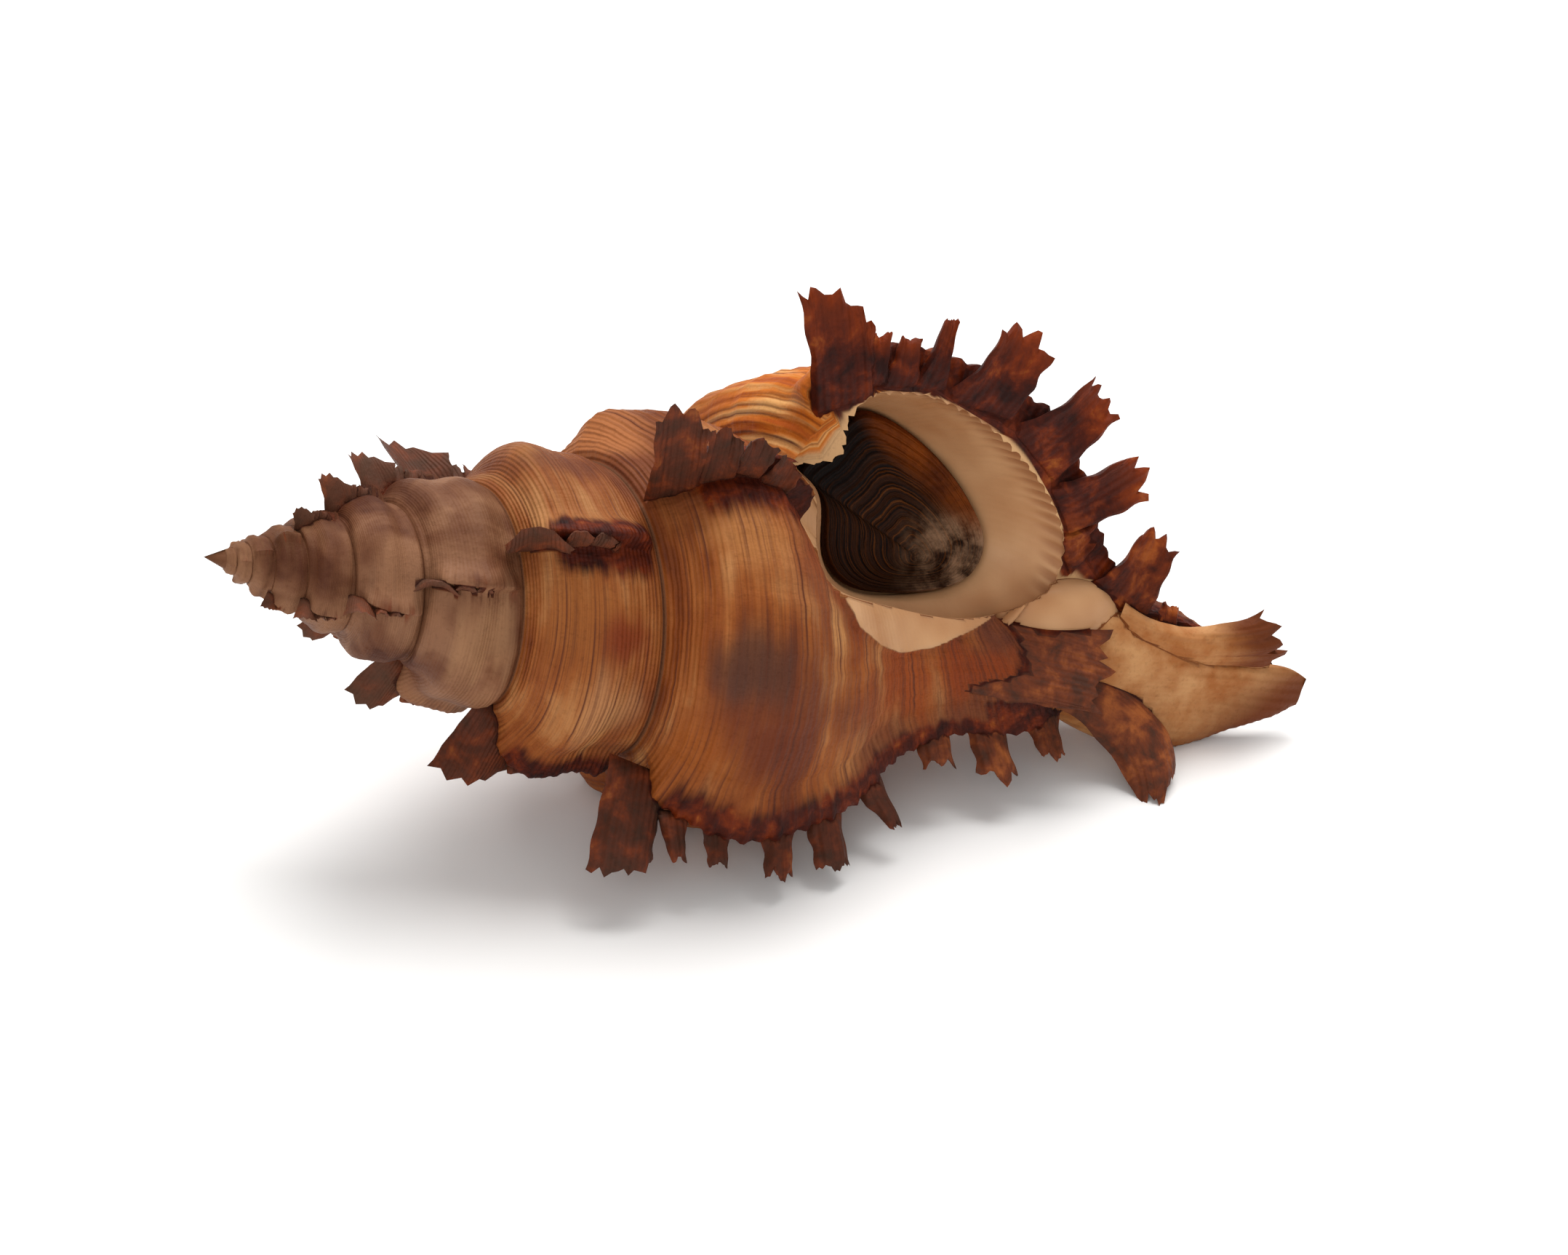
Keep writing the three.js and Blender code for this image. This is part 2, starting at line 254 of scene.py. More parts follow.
def profile_at(turn):
    """The profile at each turn, before its relief: the old outline mixed with the lip's and with the softer
    one of the spire, filled by bells of the length at an old suture, hollowed in front of the mouth, and
    pushed towards the canal by a bell beside the mouth. Returns it with its outward normals."""
    share = lip_share(turn)[:, None, None]
    p = (1.0 - share) * curve(old_profile, rows) + share * curve(lip_profile, lip_rows)
    older = smooth(-0.4, -0.7, turn)[:, None, None]
    spire_rows = np.minimum(rows / ramp_length, 1.0) * lengths(SPIRE_RAMP)[-1]
    p = np.where(rows[:, None] <= ramp_length, (1.0 - older) * p + older * curve(SPIRE_RAMP, spire_rows), p)
    above = FILL * (1.0 - smooth(-0.6, -0.25, turn))[:, None] * bell(rows, 0.0, 3.6)
    below = GROWTH * FILL * (1.0 - smooth(-0.6, -0.25, turn + 1.0))[:, None] * bell(rows, ramp_length, 4.4)
    p[..., 1] += above + below * (rows <= ramp_length)
    hollowed = smooth(-1.0, -0.965, turn) * (1.0 - smooth(-0.93, -0.84, turn))
    p[..., 1] -= PRESS * hollowed[:, None] * smooth(14.0, 20.5, rows) * (1.0 - smooth(27.0, 34.0, rows))
    p[..., 0] += 1.3 * smooth(-0.07, 0.0, turn)[:, None] * bell(rows, 3.6, 2.4) * smooth(0.0, 1.5, rows)
    slope = np.gradient(p, axis=1)
    normal = np.stack([-slope[..., 1], slope[..., 0]], axis=-1)
    return p, normal / np.linalg.norm(normal, axis=-1, keepdims=True)


def zipper(first, second, first_at, second_at):
    """Triangles between two edges that run the same way. Every step of either edge makes one with the point
    of the other that it has reached, counting the steps whose middle comes before its own."""
    first_mid = 0.5 * (first_at[1:] + first_at[:-1])
    second_mid = 0.5 * (second_at[1:] + second_at[:-1])
    reached = second[np.searchsorted(second_mid, first_mid)]
    passed = first[np.searchsorted(first_mid, second_mid, side="right")]
    return np.concatenate([np.stack([first[:-1], first[1:], reached], axis=1),
                           np.stack([passed, second[1:], second[:-1]], axis=1)])


def mesh_from(name, points, faces, values):
    """A mesh object at the origin from points in metres, lists of faces and named values at the points. Faces
    are turned outwards when the volume that they hold, the sum over their triangles, is below nothing."""
    triangles = np.concatenate([f[:, [0, i, i + 1]] for f in faces for i in range(1, f.shape[1] - 1)])
    corner = points[triangles]
    volume = np.einsum("ij,ij->i", corner[:, 0], np.cross(corner[:, 1], corner[:, 2])).sum()
    order = [f[:, ::-1] if volume < 0.0 else f for f in faces]
    mesh = bpy.data.meshes.new(name)
    mesh.from_pydata(points.tolist(), [], [face for f in order for face in f.tolist()])
    for key, value in values.items():
        layer = mesh.attributes.new(key, "FLOAT", "POINT")
        layer.data.foreach_set("value", np.ascontiguousarray(value, dtype=np.float32))
    mesh.update()
    piece = bpy.data.objects.new(name, mesh)
    bpy.context.scene.collection.objects.link(piece)
    return piece


def whorls():
    """The coiled tube as one closed surface. A grid of profiles by turns is zipped to itself along the
    suture, closed by a cone at the apex, and closed at the lip by one flat face in the half-plane there."""
    start = np.searchsorted(turns, -1.0 - 1e-9)
    last = len(turns) - 1
    length, turn = np.meshgrid(rows, turns)
    p, normal = profile_at(turns)
    cover = callus_cover(p[..., 0], p[..., 1], turn) * (length > ramp_length - 5.0)
    rim = 4.0 * cover * (1.0 - cover)
    height = relief(length, turn) * (1.0 - 0.75 * cover) + CALLUS_HEIGHT * (cover + 0.6 * rim)
    p = p + height[..., None] * normal
    p[..., 1] = np.maximum(p[..., 1], 0.0)
    number = np.full(length.shape, -1)
    number[:, :RAMP_ROWS] = np.arange((last + 1) * RAMP_ROWS).reshape(-1, RAMP_ROWS)
    number[start:, RAMP_ROWS:] = number[last, RAMP_ROWS - 1] + 1 \
        + np.arange((last + 1 - start) * (BASE_ROWS + 1)).reshape(-1, BASE_ROWS + 1)
    number[start, RAMP_ROWS] = number[last, 0]
    used = number.ravel() >= 0
    place = np.empty((number.max() + 1, 3))
    place[number.ravel()[used]] = laid(p[..., 0], p[..., 1], 0.0, turn).reshape(-1, 3)[used]
    place[number[last, 0]] = laid(*SUTURE, 0.0, 0.0)
    # seam marks the sutures, where the material paints shade into the crease between one whorl and the next.
    seam = (rows == 0.0) | ((rows >= rows[RAMP_ROWS - 1]) & (rows <= rows[RAMP_ROWS + 1]))
    seam = seam * (turn < -0.02) * (1.0 - open_base(turn) * (length > 1.0))
    by_canal = smooth(48.5, 51.0, p[..., 0] * GROWTH ** turn) * (turn < -0.45)
    values = {"along_profile": length, "turn": turn, "callus": cover, "frond": 0.0 * length, "seam": seam,
              "varix": np.maximum(stained(length, turn), by_canal)}
    values = {key: value_at_points(value, number, used) for key, value in values.items()}

    quads = np.concatenate([grid_quads(number[:, :RAMP_ROWS]), grid_quads(number[start:, RAMP_ROWS - 1:])])
    lower = number[:start + 1, RAMP_ROWS - 1]
    upper_from = np.searchsorted(turns, 1.0 - WHORLS - 1e-9)
    seam = zipper(lower, number[upper_from:, 0], turns[:start + 1], turns[upper_from:] - 1.0)
    apex = len(place)
    place = np.vstack([place, laid(0.0, 0.0, 0.0, -1.0)])
    rim = np.concatenate([number[:upper_from + 1, 0], number[0, RAMP_ROWS - 1::-1]])
    cone = np.stack([rim[1:], rim[:-1], np.full(len(rim) - 1, apex)], axis=1)
    wall = np.concatenate([number[last], number[start:last, -1][::-1], number[start, RAMP_ROWS + 1:-1][::-1]])
    values = {key: np.append(value, value[rim[0]]) for key, value in values.items()}
    return mesh_from("murex_shell", place, [quads, seam, cone, wall[None, ::-1]], values)


def value_at_points(value, number, used):
    """A grid of values put in the order of the points."""
    ordered = np.empty(number.max() + 1)
    ordered[number.ravel()[used]] = value.ravel()[used]
    return ordered


def grid_quads(number):
    """The faces of a grid of point numbers."""
    corner = [number[:-1, :-1], number[1:, :-1], number[1:, 1:], number[:-1, 1:]]
    return np.stack(corner, axis=-1).reshape(-1, 4)


shell = whorls()

# ------------------------------
# The fronds
# At each varix the animal folded the edge of its mantle into fingers, and the shell laid over them became
# hollow, guttered fronds with forked tips. They are the same shell as the whorls, and the oldest are worn.
# A frond is given by the two ends of its root and its tips, from left to right, in its varix's half-plane.
# ------------------------------
FROND_STEPS = (18, 14)              # along and across a large frond
SMALL_STEPS = (10, 8)
FROND_SINK = 1.3                    # how deep a frond is rooted in its varix
FROND_PLANE = -0.003                # whorls from the varix's foot to the middle of its fronds
FROND_LENGTHS = 200.0               # the along_profile values of fronds start here, clear of the whorls'
# Each row: the left and right ends of the root, the tips, and how it differs from a plain frond.
LIP_FRONDS = [
    ((32.6, 14.6), (36.2, 16.4), [(29.6, 20.0), (30.8, 20.2), (32.6, 20.5), (34.2, 19.9), (35.2, 19.0)],
     dict(notch=0.1, cup=0.25, waist=0.8, sink=2.2)),
    ((34.6, 16.0), (37.6, 16.6), [(35.6, 18.2), (36.8, 18.5)], dict(cup=0.1, notch=0.1)),
    ((36.6, 16.2), (39.6, 16.8), [(37.4, 18.4), (38.8, 18.4)], dict(cup=0.1, notch=0.1)),
    ((38.6, 16.2), (41.4, 16.8), [(39.7, 19.8), (40.7, 20.0)], dict(cup=0.5, waist=0.3, notch=0.04)),
    ((41.2, 16.2), (46.8, 15.4), [(43.2, 20.0), (44.6, 20.4), (46.2, 20.2), (47.2, 18.8)], dict(waist=0.6)),
    ((46.6, 14.8), (51.2, 11.6), [(50.3, 18.3), (51.4, 17.4), (52.4, 16.6), (53.0, 15.8)],
     dict(waist=0.6, notch=0.1)),
    ((50.8, 11.4), (53.5, 8.2), [(54.4, 13.4), (55.6, 13.3), (56.8, 12.6), (57.0, 10.9)],
     dict(waist=0.7, notch=0.12)),
    ((52.4, 8.6), (54.6, 5.8), [(54.4, 8.9), (54.9, 7.3)], dict(cup=0.2, notch=0.2)),
    ((54.8, 5.4), (60.6, 3.6), [(57.2, 8.5), (58.4, 9.0), (59.6, 8.6), (60.4, 7.9)], dict(waist=0.55)),
    ((60.0, 3.0), (63.0, 2.2), [(61.0, 4.2), (62.2, 3.9)], dict(cup=0.1, notch=0.1)),
]
OLD_FRONDS = [
    ((30.2, 13.6), (35.6, 15.6), [(28.9, 19.1), (30.2, 19.8), (31.8, 19.8), (33.2, 19.9), (34.3, 18.7)],
     dict(waist=0.8, notch=0.05, sink=2.6)),
    ((34.4, 16.4), (37.2, 16.8), [(35.4, 19.2), (36.6, 19.2)], dict(waist=0.6)),
    ((37.8, 16.8), (40.8, 17.0), [(38.4, 19.5), (40.0, 19.6)], dict(waist=0.6)),
    ((42.4, 16.2), (46.4, 15.6), [(43.0, 20.2), (44.3, 20.6), (45.5, 20.2)], dict(waist=0.5)),
    ((46.2, 15.4), (50.2, 13.0), [(47.4, 19.2), (48.9, 19.4), (50.4, 18.6)], dict(waist=0.6, notch=0.06)),
    ((50.0, 12.6), (53.0, 9.4), [(53.9, 15.8), (54.8, 15.5)], dict(waist=0.7, notch=0.06)),
    ((55.4, 6.8), (60.2, 6.0), [(57.0, 10.7), (58.3, 10.4), (59.9, 10.4)], dict(waist=0.6)),
    ((60.2, 6.2), (65.0, 5.6), [(61.8, 10.4), (64.0, 11.5), (65.6, 10.2)], dict(waist=0.5)),
    ((65.4, 5.6), (70.0, 4.8), [(67.4, 8.6), (68.6, 9.0), (69.6, 8.2)], dict(waist=0.6)),
]
SHOULDER_FRILL = [
    ((32.2, 13.0), (36.4, 15.2), [(29.4, 19.6), (30.8, 20.8), (33.0, 20.8), (34.6, 19.8)],
     dict(waist=0.8, notch=0.1, sink=2.4)),
    ((35.6, 15.2), (39.2, 16.8), [(34.8, 19.6), (36.6, 19.8), (38.2, 19.3)], dict(waist=0.8, sink=2.0)),
    ((38.4, 17.0), (41.6, 16.8), [(38.6, 19.4), (40.0, 19.6), (41.6, 19.2)], dict(waist=0.8)),
    ((41.4, 16.4), (44.8, 15.0), [(42.2, 18.6), (44.8, 17.6)], dict(waist=0.8)),
]
SPIRE_FRONDS = [
    ((30.4, 12.0), (36.8, 15.2), [(26.2, 18.8), (27.6, 20.4), (30.2, 20.8), (32.6, 19.6), (36.4, 18.0)],
     dict(waist=0.85, notch=0.07, sink=2.4)),
    ((35.8, 15.4), (39.2, 16.8), [(35.8, 18.3), (38.4, 18.2)], dict(waist=0.8, sink=2.0)),
    ((38.8, 16.6), (42.2, 16.4), [(39.2, 18.4), (41.8, 18.0)], dict(waist=0.8)),
    ((41.8, 16.0), (45.6, 14.6), [(42.4, 17.8), (45.6, 16.4)], dict(waist=0.8)),
]
# How long the fronds of each varix on the spire still are, from the fourth varix behind the lip back.
SPIRE_WEAR = [0.4, 0.66, 0.45, 1.0, 0.66, 0.15, 0.8, 0.6, 0.6, 0.8, 0.6, 0.6, 0.6, 0.5, 0.5]


def frond(turn, left, right, tips, cup=0.45, bend=-0.4, ahead=0.0, thick=1.1, notch=0.12, waist=0.55,
          middle=None, long=1.0, sink=FROND_SINK, steps=FROND_STEPS, plain=0.0,
          stained_from=-1.0):
    """A closed leaf. Lines run from the root, even across w, to the tips, each a Bezier curve of three points
    whose middle one is drawn in towards the centre line by the waist. Each ends at its reach, which dips by
    the notch, a power of a cosine, between tips, and wavers by a sine. Both faces stand off the half-plane:
    by the cup times w squared, the bend times the square of the length, and half a thickness that falls to
    nothing at the edges. It is dark from stained_from, as a share of its length, unless it is plain."""
    u = np.linspace(0.0, 1.0, steps[0] + 1)[:, None] + np.zeros(steps[1] + 1)
    w = np.linspace(-1.0, 1.0, steps[1] + 1) + 0.0 * u
    left, right, tips = (np.asarray(p, float) for p in (left, right, tips))
    share = 0.5 * (w + 1.0)[..., None]
    root = left + (right - left) * share
    at_tips = np.linspace(-1.0, 1.0, len(tips))
    top = np.stack([np.interp(w, at_tips, tips[:, axis]) for axis in (0, 1)], axis=-1)
    grown = top[0].mean(axis=0) - 0.5 * (left + right)
    top = root + (top - root) * long
    root = root - sink * grown / np.linalg.norm(grown)
    if middle is None:
        centre = 0.25 * (left + right + top[0, 0] + top[0, -1])
        control = centre + waist * (0.5 * (root + top) - centre)
    else:
        control = np.asarray(middle[0], float) * (1.0 - share) + np.asarray(middle[1], float) * share
    dip = 0.5 - 0.5 * np.cos(np.pi * (len(tips) - 1) * (w + 1.0) + 0.5 * np.sin(7.0 * w + left[0]))
    reach = 1.0 - notch * dip ** 1.6 - 0.035 * np.sin(11.0 * w + 5.0 * left[0]) ** 2
    s = (u * reach)[..., None]
    p = (1.0 - s) ** 2 * root + 2.0 * s * (1.0 - s) * control + s ** 2 * top
    half = 0.5 * np.linalg.norm(p[:, -1:] - p[:, :1], axis=-1)
    side = (p[:, -1:] - p[:, :1]) / (2.0 * half[..., None] + 1e-6)
    teeth = 0.1 * np.abs(w) ** 5 * np.sign(w) * np.sin(17.0 * u + 3.0 * left[0] + w) * smooth(0.2, 0.5, u)
    p = p + side * (teeth * np.minimum(half, 1.0))[..., None]
    stand = ahead + cup * w ** 2 * half * smooth(0.05, 0.6, u) + bend * u ** 2 \
        + 0.1 * np.cos(2.5 * np.pi * w) * (1.0 - w ** 2) * np.minimum(half, 1.0) * u
    body = np.sqrt((1.0 - w ** 6) * (1.0 - u ** 14) * (1.0 - (1.0 - u) ** 8))
    body = 0.5 * thick * (1.0 - 0.45 * u) * body
    inner = np.s_[1:-1, 1:-1]
    front = np.arange(u.size).reshape(u.shape)
    back = front.copy()
    back[inner] = u.size + np.arange(back[inner].size).reshape(back[inner].shape)
    place = np.vstack([laid(p[..., 0], p[..., 1], stand + body, turn).reshape(-1, 3),
                       laid(p[inner][..., 0], p[inner][..., 1], (stand - body)[inner], turn).reshape(-1, 3)])
    dark = 1.0 - plain
    values = {"along_profile": FROND_LENGTHS + 1.2 * w * half + left[0], "turn": turn + 0.012 * u,
              "varix": dark * smooth(stained_from, stained_from + 0.5, u), "callus": 0.0 * u,
              "frond": dark * (0.02 + 0.98 * u) * smooth(stained_from, stained_from + 0.35, u),
              "canal": plain * (0.9 + 0.75 * u ** 2)}
    values = {key: np.concatenate([value.ravel(), value[inner].ravel()]) for key, value in values.items()}
    return mesh_from("frond", place, [grid_quads(front), grid_quads(back)[:, ::-1]], values)


def row_of_fronds(number, table, long=1.0, steps=FROND_STEPS):
    """The fronds of one varix, counted back from the lip."""
    turn = -number * VARIX_STEP + FROND_PLANE
    return [frond(turn, left, right, tips, long=long, steps=steps, **shape)
            for left, right, tips, shape in table]


pieces = row_of_fronds(0, LIP_FRONDS) + row_of_fronds(1, OLD_FRONDS) + row_of_fronds(2, OLD_FRONDS) \
    + row_of_fronds(3, SHOULDER_FRILL)
for number, wear in enumerate(SPIRE_WEAR, start=4):
    pieces += row_of_fronds(number, SPIRE_FRONDS, long=wear, steps=SMALL_STEPS)

# ------------------------------
# The canal
# The tube that the animal's siphon came out of. Its wall is a broad tapering plate of pale, rough shell,
# with the lip's last frond rolled along its edge. Old canals are left behind at the two varices before the
# lip. Both end in a curved spur, and the older one in a jagged collar too.
# ------------------------------
# Sections: along the axis, the middle, half width, half thickness, and how far ahead of the lip's plane.
CANAL = [(51.0, 0.6, 1.6, 1.0, -0.4), (54.0, 0.0, 3.2, 1.8, -0.2), (58.0, -0.8, 4.1, 2.0, 0.0),
         (62.0, -1.7, 3.9, 1.7, 0.2), (65.4, -1.9, 3.1, 1.2, 0.3), (68.3, -1.2, 2.3, 0.9, 0.4),
         (71.2, -0.5, 1.6, 0.6, 0.5), (72.5, -0.3, 0.9, 0.35, 0.5)]
BULB = [(49.4, 2.0, 0.3, 0.3, 0.3), (50.8, 2.2, 1.6, 1.2, 0.3), (53.2, 2.5, 2.4, 1.7, 0.2),
        (55.8, 2.7, 2.1, 1.4, 0.0), (58.4, 2.3, 0.5, 0.3, -0.3)]     # the swollen start of the canal
CALLUS_RIM = [(44.0, -0.9, 0.15, 0.2, 0.8), (46.0, -0.4, 0.3, 0.35, 1.0), (48.0, 0.75, 0.36, 0.4, 1.2),
              (49.6, 2.1, 0.42, 0.4, 1.3), (50.6, 3.6, 0.4, 0.35, 1.0), (51.7, 4.7, 0.15, 0.15, 0.4)]
CANAL_STATIONS = 90
CANAL_SIDES = 56
SERRATION = 0.1                     # how deep the lower edge is notched
TOOTH_STEP = 0.55
TUBE_LENGTHS = 300.0                # the tubes' along_profile values start here
OLD_CANAL = [
    ((59.0, 5.2), (58.0, -1.0),
     [(67.4, 5.9), (70.4, 6.3), (70.0, 4.4), (72.0, 3.0), (71.2, 1.5), (72.6, -0.9)],
     dict(middle=[(64.6, 5.6), (64.6, -0.8)], notch=0.06, cup=0.12, bend=-1.5, ahead=-3.0, thick=1.2,
     sink=1.5, stained_from=0.05)),
    ((67.6, 4.6), (68.4, 1.0), [(76.4, 11.6), (77.6, 11.9), (79.7, 8.8)],
     dict(middle=[(74.6, 5.4), (82.0, 2.2)], notch=0.05, cup=0.5, bend=0.0, ahead=-0.6, thick=1.5,
     sink=0.0, stained_from=0.25)),
]
LIP_ROLL = [
    ((57.6, 4.2), (57.6, 1.6), [(67.6, 5.0), (68.9, 4.4), (69.6, 3.2), (70.4, 2.6), (69.6, 1.0)],
     dict(middle=[(63.0, 1.5), (63.4, 0.3)], notch=0.06, cup=-0.3, bend=0.5, ahead=0.7, thick=1.6,
     sink=0.0, plain=1.0)),
]


def tube(name, sections, stations, sides, mark, saw=0.0, groove=0.0):
    """A closed tube beside the lip: flattened ellipses on a spline of sections. The lower edge can be notched
    by a sawtooth of the distance along, and the front furrowed by a bell. Both ends close to a point."""
    section = curve(sections, np.linspace(0.0, lengths(sections)[-1], stations))
    along, middle, half, thick, lift = (value[:, None] for value in section.T)
    q = np.linspace(0.0, 2.0 * np.pi, sides, endpoint=False)[None]
    tooth = (np.mod(along / TOOTH_STEP, 1.0) - 0.5) * smooth(0.2, 1.0, -np.cos(q)) * smooth(60.0, 64.0, along)
    out = middle + half * np.cos(q) - saw * tooth
    ahead = lift + thick * np.sign(np.sin(q)) * np.abs(np.sin(q)) ** 0.8
    furrow = smooth(58.0, 63.0, along) * bell(out - middle, 0.3, 1.2) * smooth(0.0, 0.5, np.sin(q))
    ahead = ahead - groove * furrow
    along = along + 0.0 * q
    ring = np.arange(along.size).reshape(along.shape)
    closed = np.concatenate([ring, ring[:, :1]], axis=1)
    ends = [laid(section[i, 0], section[i, 1], section[i, 4], 0.0)[None] for i in (0, -1)]
    place = np.vstack([laid(along, out, ahead, 0.0).reshape(-1, 3)] + ends)
    fans = [np.stack([closed[0, :-1], closed[0, 1:], np.full(sides, along.size)], axis=1),
            np.stack([closed[-1, 1:], closed[-1, :-1], np.full(sides, along.size + 1)], axis=1)]
    grown = (along - 60.0) / 12.0 - 0.25 * np.cos(q)
    zero = np.zeros_like(along)
    values = {"along_profile": TUBE_LENGTHS + out, "turn": along * 0.003, "varix": zero, "frond": zero,
              "callus": zero + mark, "canal": (1.0 - mark) * (1.0 + 0.5 * np.clip(grown, 0.0, 1.2))}
    values = {key: np.append(value.ravel(), [value[0, 0], value[-1, 0]]) for key, value in values.items()}
    return mesh_from(name, place, [grid_quads(closed)] + fans, values)


pieces += [tube("canal", CANAL, CANAL_STATIONS, CANAL_SIDES, 0.0, saw=SERRATION, groove=0.35),
           tube("canal_bulb", BULB, 40, 40, 1.0),
           tube("callus_rim", CALLUS_RIM, 50, 16, 1.0)]
for left, right, tips, shape in LIP_ROLL:
    pieces.append(frond(0.0, left, right, tips, **shape))
pieces += row_of_fronds(1, OLD_CANAL[1:]) + row_of_fronds(2, OLD_CANAL)

# ------------------------------
# The mouth
# The opening of the tube, lined with a smooth cream layer that widens to the lip. The rim is pleated where
# each spiral cord ends, and its inner side lies on the whorl before it.
# ------------------------------
MOUTH = [(36.0, 5.9), (36.8, 4.0), (38.2, 2.4), (41.8, 1.6), (46.2, 1.3), (50.0, 2.2), (52.4, 4.4),
         (52.0, 7.4), (48.5, 11.2), (44.4, 13.7), (41.0, 14.8), (38.2, 14.9), (36.3, 14.2), (35.6, 12.6),
         (35.9, 10.9), (34.6, 10.0), (33.2, 9.6), (34.7, 8.4)]
# The same outline where the operculum sits, point for point.
INSIDE = [(38.4, 6.4), (38.7, 4.2), (40.0, 2.6), (43.2, 2.1), (46.6, 2.6), (49.3, 3.9), (50.1, 5.8),
          (49.1, 8.1), (46.6, 10.6), (43.6, 12.4), (41.5, 13.1), (40.1, 13.1), (38.9, 12.2), (38.2, 11.2),
          (37.4, 10.3), (36.6, 9.6), (36.2, 9.0), (37.4, 8.1)]
MOUTH_MIDDLE = np.array([43.5, 8.0])
INSIDE_MIDDLE = np.array([43.0, 7.5])
MOUTH_SIDES = 230
MOUTH_TURNS = [-0.12, -0.1, -0.085, -0.075, -0.066, -0.055, -0.045, -0.036, -0.028, -0.021, -0.015, -0.01,
               -0.006, -0.003, -0.001]
# How far it has opened from the one outline to the other at each turn.
OPENING = [(-0.12, -0.075, -0.05, -0.03, -0.012, 0.0), (-0.1, 0.0, 0.24, 0.52, 0.84, 1.0)]
# In front of the lip the hollow goes straight on, in millimetres, through what is worn off the last whorl.
CLEARING = (0.0, 0.3, 0.8, 1.6, 3.0, 5.0, 8.0, 12.0, 16.0)
CLEARED = np.array([-0.462, -0.887, 0.0])
INWARD = np.array([-0.31, -0.95])   # towards the whorl that the inner side lies on
MOUTH_LENGTHS = 400.0               # the hollow's along_profile values start here
PLEAT_STEP = 0.95
PLEAT_DEPTH = 0.3
TORN = 0.16                         # how ragged the edge beside the suture is
SHARP_ANGLE = np.radians(50.0)      # faces that meet at less than this are shaded as one surface


def mouth_outline(turn):
    """The mouth at each turn: a closed spline of the outlines mixed by how open it is, its outer edge pleated
    by the magnitude of a sine of the length round it and its edge by the suture torn by a sum of sines. The
    pleats die out inwards over a thirtieth of a whorl. Returns it, the length round it, the pleats and the
    place among the points of the outline, which begins at 3."""
    around = MOUTH[-3:] + MOUTH + MOUTH[:4]
    around_inside = INSIDE[-3:] + INSIDE + INSIDE[:4]
    d = lengths(around)
    at = np.linspace(d[3], d[3 + len(MOUTH)], MOUTH_SIDES + 1)[:-1]
    wide = curve(around, at)
    index = np.interp(at, d, np.arange(len(around)))
    within = curve(around_inside, np.interp(index, np.arange(len(around)), lengths(around_inside)))
    turn = np.asarray(turn, float)[:, None]
    opened = np.interp(turn, *OPENING)[..., None]
    p = (1.0 - opened) * within + opened * wide
    heading = (wide - MOUTH_MIDDLE) / np.linalg.norm(wide - MOUTH_MIDDLE, axis=-1, keepdims=True)
    lip_side = (1.0 - smooth(0.0, 0.4, heading @ INWARD)) * (1.0 - smooth(14.5, 15.5, index))
    near = smooth(-0.034, -0.004, turn)
    pleat = np.abs(np.sin(np.pi * at / PLEAT_STEP)) ** 0.6 * near * lip_side
    tear = smooth(14.5, 15.5, index) * (1.0 - smooth(19.2, 19.8, index)) * smooth(-0.02, 0.0, turn) \
        * (np.sin(7.3 * at) + 0.7 * np.sin(12.9 * at + 1.0))
    return p + heading * (PLEAT_DEPTH * pleat + TORN * tear)[..., None], at, pleat, index


def mouth_hollow():
    """The solid that is taken out of the shell: mouth outlines swept round the axis up to the lip, then the
    last outline moved straight on, and closed at both ends. What it leaves is lining, but for the edge by the
    suture and, further on from the lip, the side that isn't kept, which have the whorl's own colours."""
    turn = np.array(MOUTH_TURNS)
    p, at, pleat, index = mouth_outline(turn)
    last, _, last_pleat, _ = mouth_outline([0.0])
    front = np.stack(drawn(last[0, :, 0], last[0, :, 1], 0.0, 0.0), axis=-1)
    front = front + np.array(CLEARING)[:, None, None] * CLEARED
    place = np.vstack([laid(p[..., 0], p[..., 1], 0.0, turn[:, None]).reshape(-1, 3),
                       rolled(*np.moveaxis(front, -1, 0)).reshape(-1, 3),
                       laid(*INSIDE_MIDDLE, 0.0, turn[0])[None],
                       rolled(*(np.array(drawn(*MOUTH_MIDDLE, 0.0, 0.0)) + CLEARING[-1] * CLEARED))[None]])
    stations = len(turn) + len(CLEARING)
    ring = np.arange(stations * MOUTH_SIDES).reshape(stations, MOUTH_SIDES)
    closed = np.concatenate([ring, ring[:, :1]], axis=1)
    fans = [np.stack([closed[0, :-1], closed[0, 1:], np.full(MOUTH_SIDES, ring.size)], axis=1),
            np.stack([closed[-1, 1:], closed[-1, :-1], np.full(MOUTH_SIDES, ring.size + 1)], axis=1)]
    turn = np.append(turn, np.zeros(len(CLEARING)))[:, None]
    pleat = np.vstack([pleat] + [last_pleat] * len(CLEARING))
    torn = smooth(15.0, 15.6, index) * (1.0 - smooth(19.0, 19.4, index)) * smooth(-0.03, -0.02, turn)
    beside = np.interp(index, (14.8, 19.4), (8.0, 0.3))
    worn = (np.arange(stations) > len(MOUTH_TURNS) + 2)[:, None] + 0.0 * ring
    kept = 1.0 - smooth(9.0, 9.8, index) * (1.0 - smooth(19.2, 19.8, index))
    worn = worn * (1.0 - kept)
    length = (1.0 - torn) * (at[None] + MOUTH_LENGTHS) + beside * torn
    lining = (1.0 - torn) * (1.0 - worn)
    values = {"along_profile": np.where(worn > 0.5, 12.0 + 0.5 * at, length), "turn": turn - 0.97 * worn,
              "mouth": lining, "varix": lining, "pleat": pleat}
    values = {key: np.append(value.ravel(), [value[0, 0], value[-1, 0]]) for key, value in values.items()}
    return mesh_from("mouth_hollow", place, [grid_quads(closed)] + fans, values)


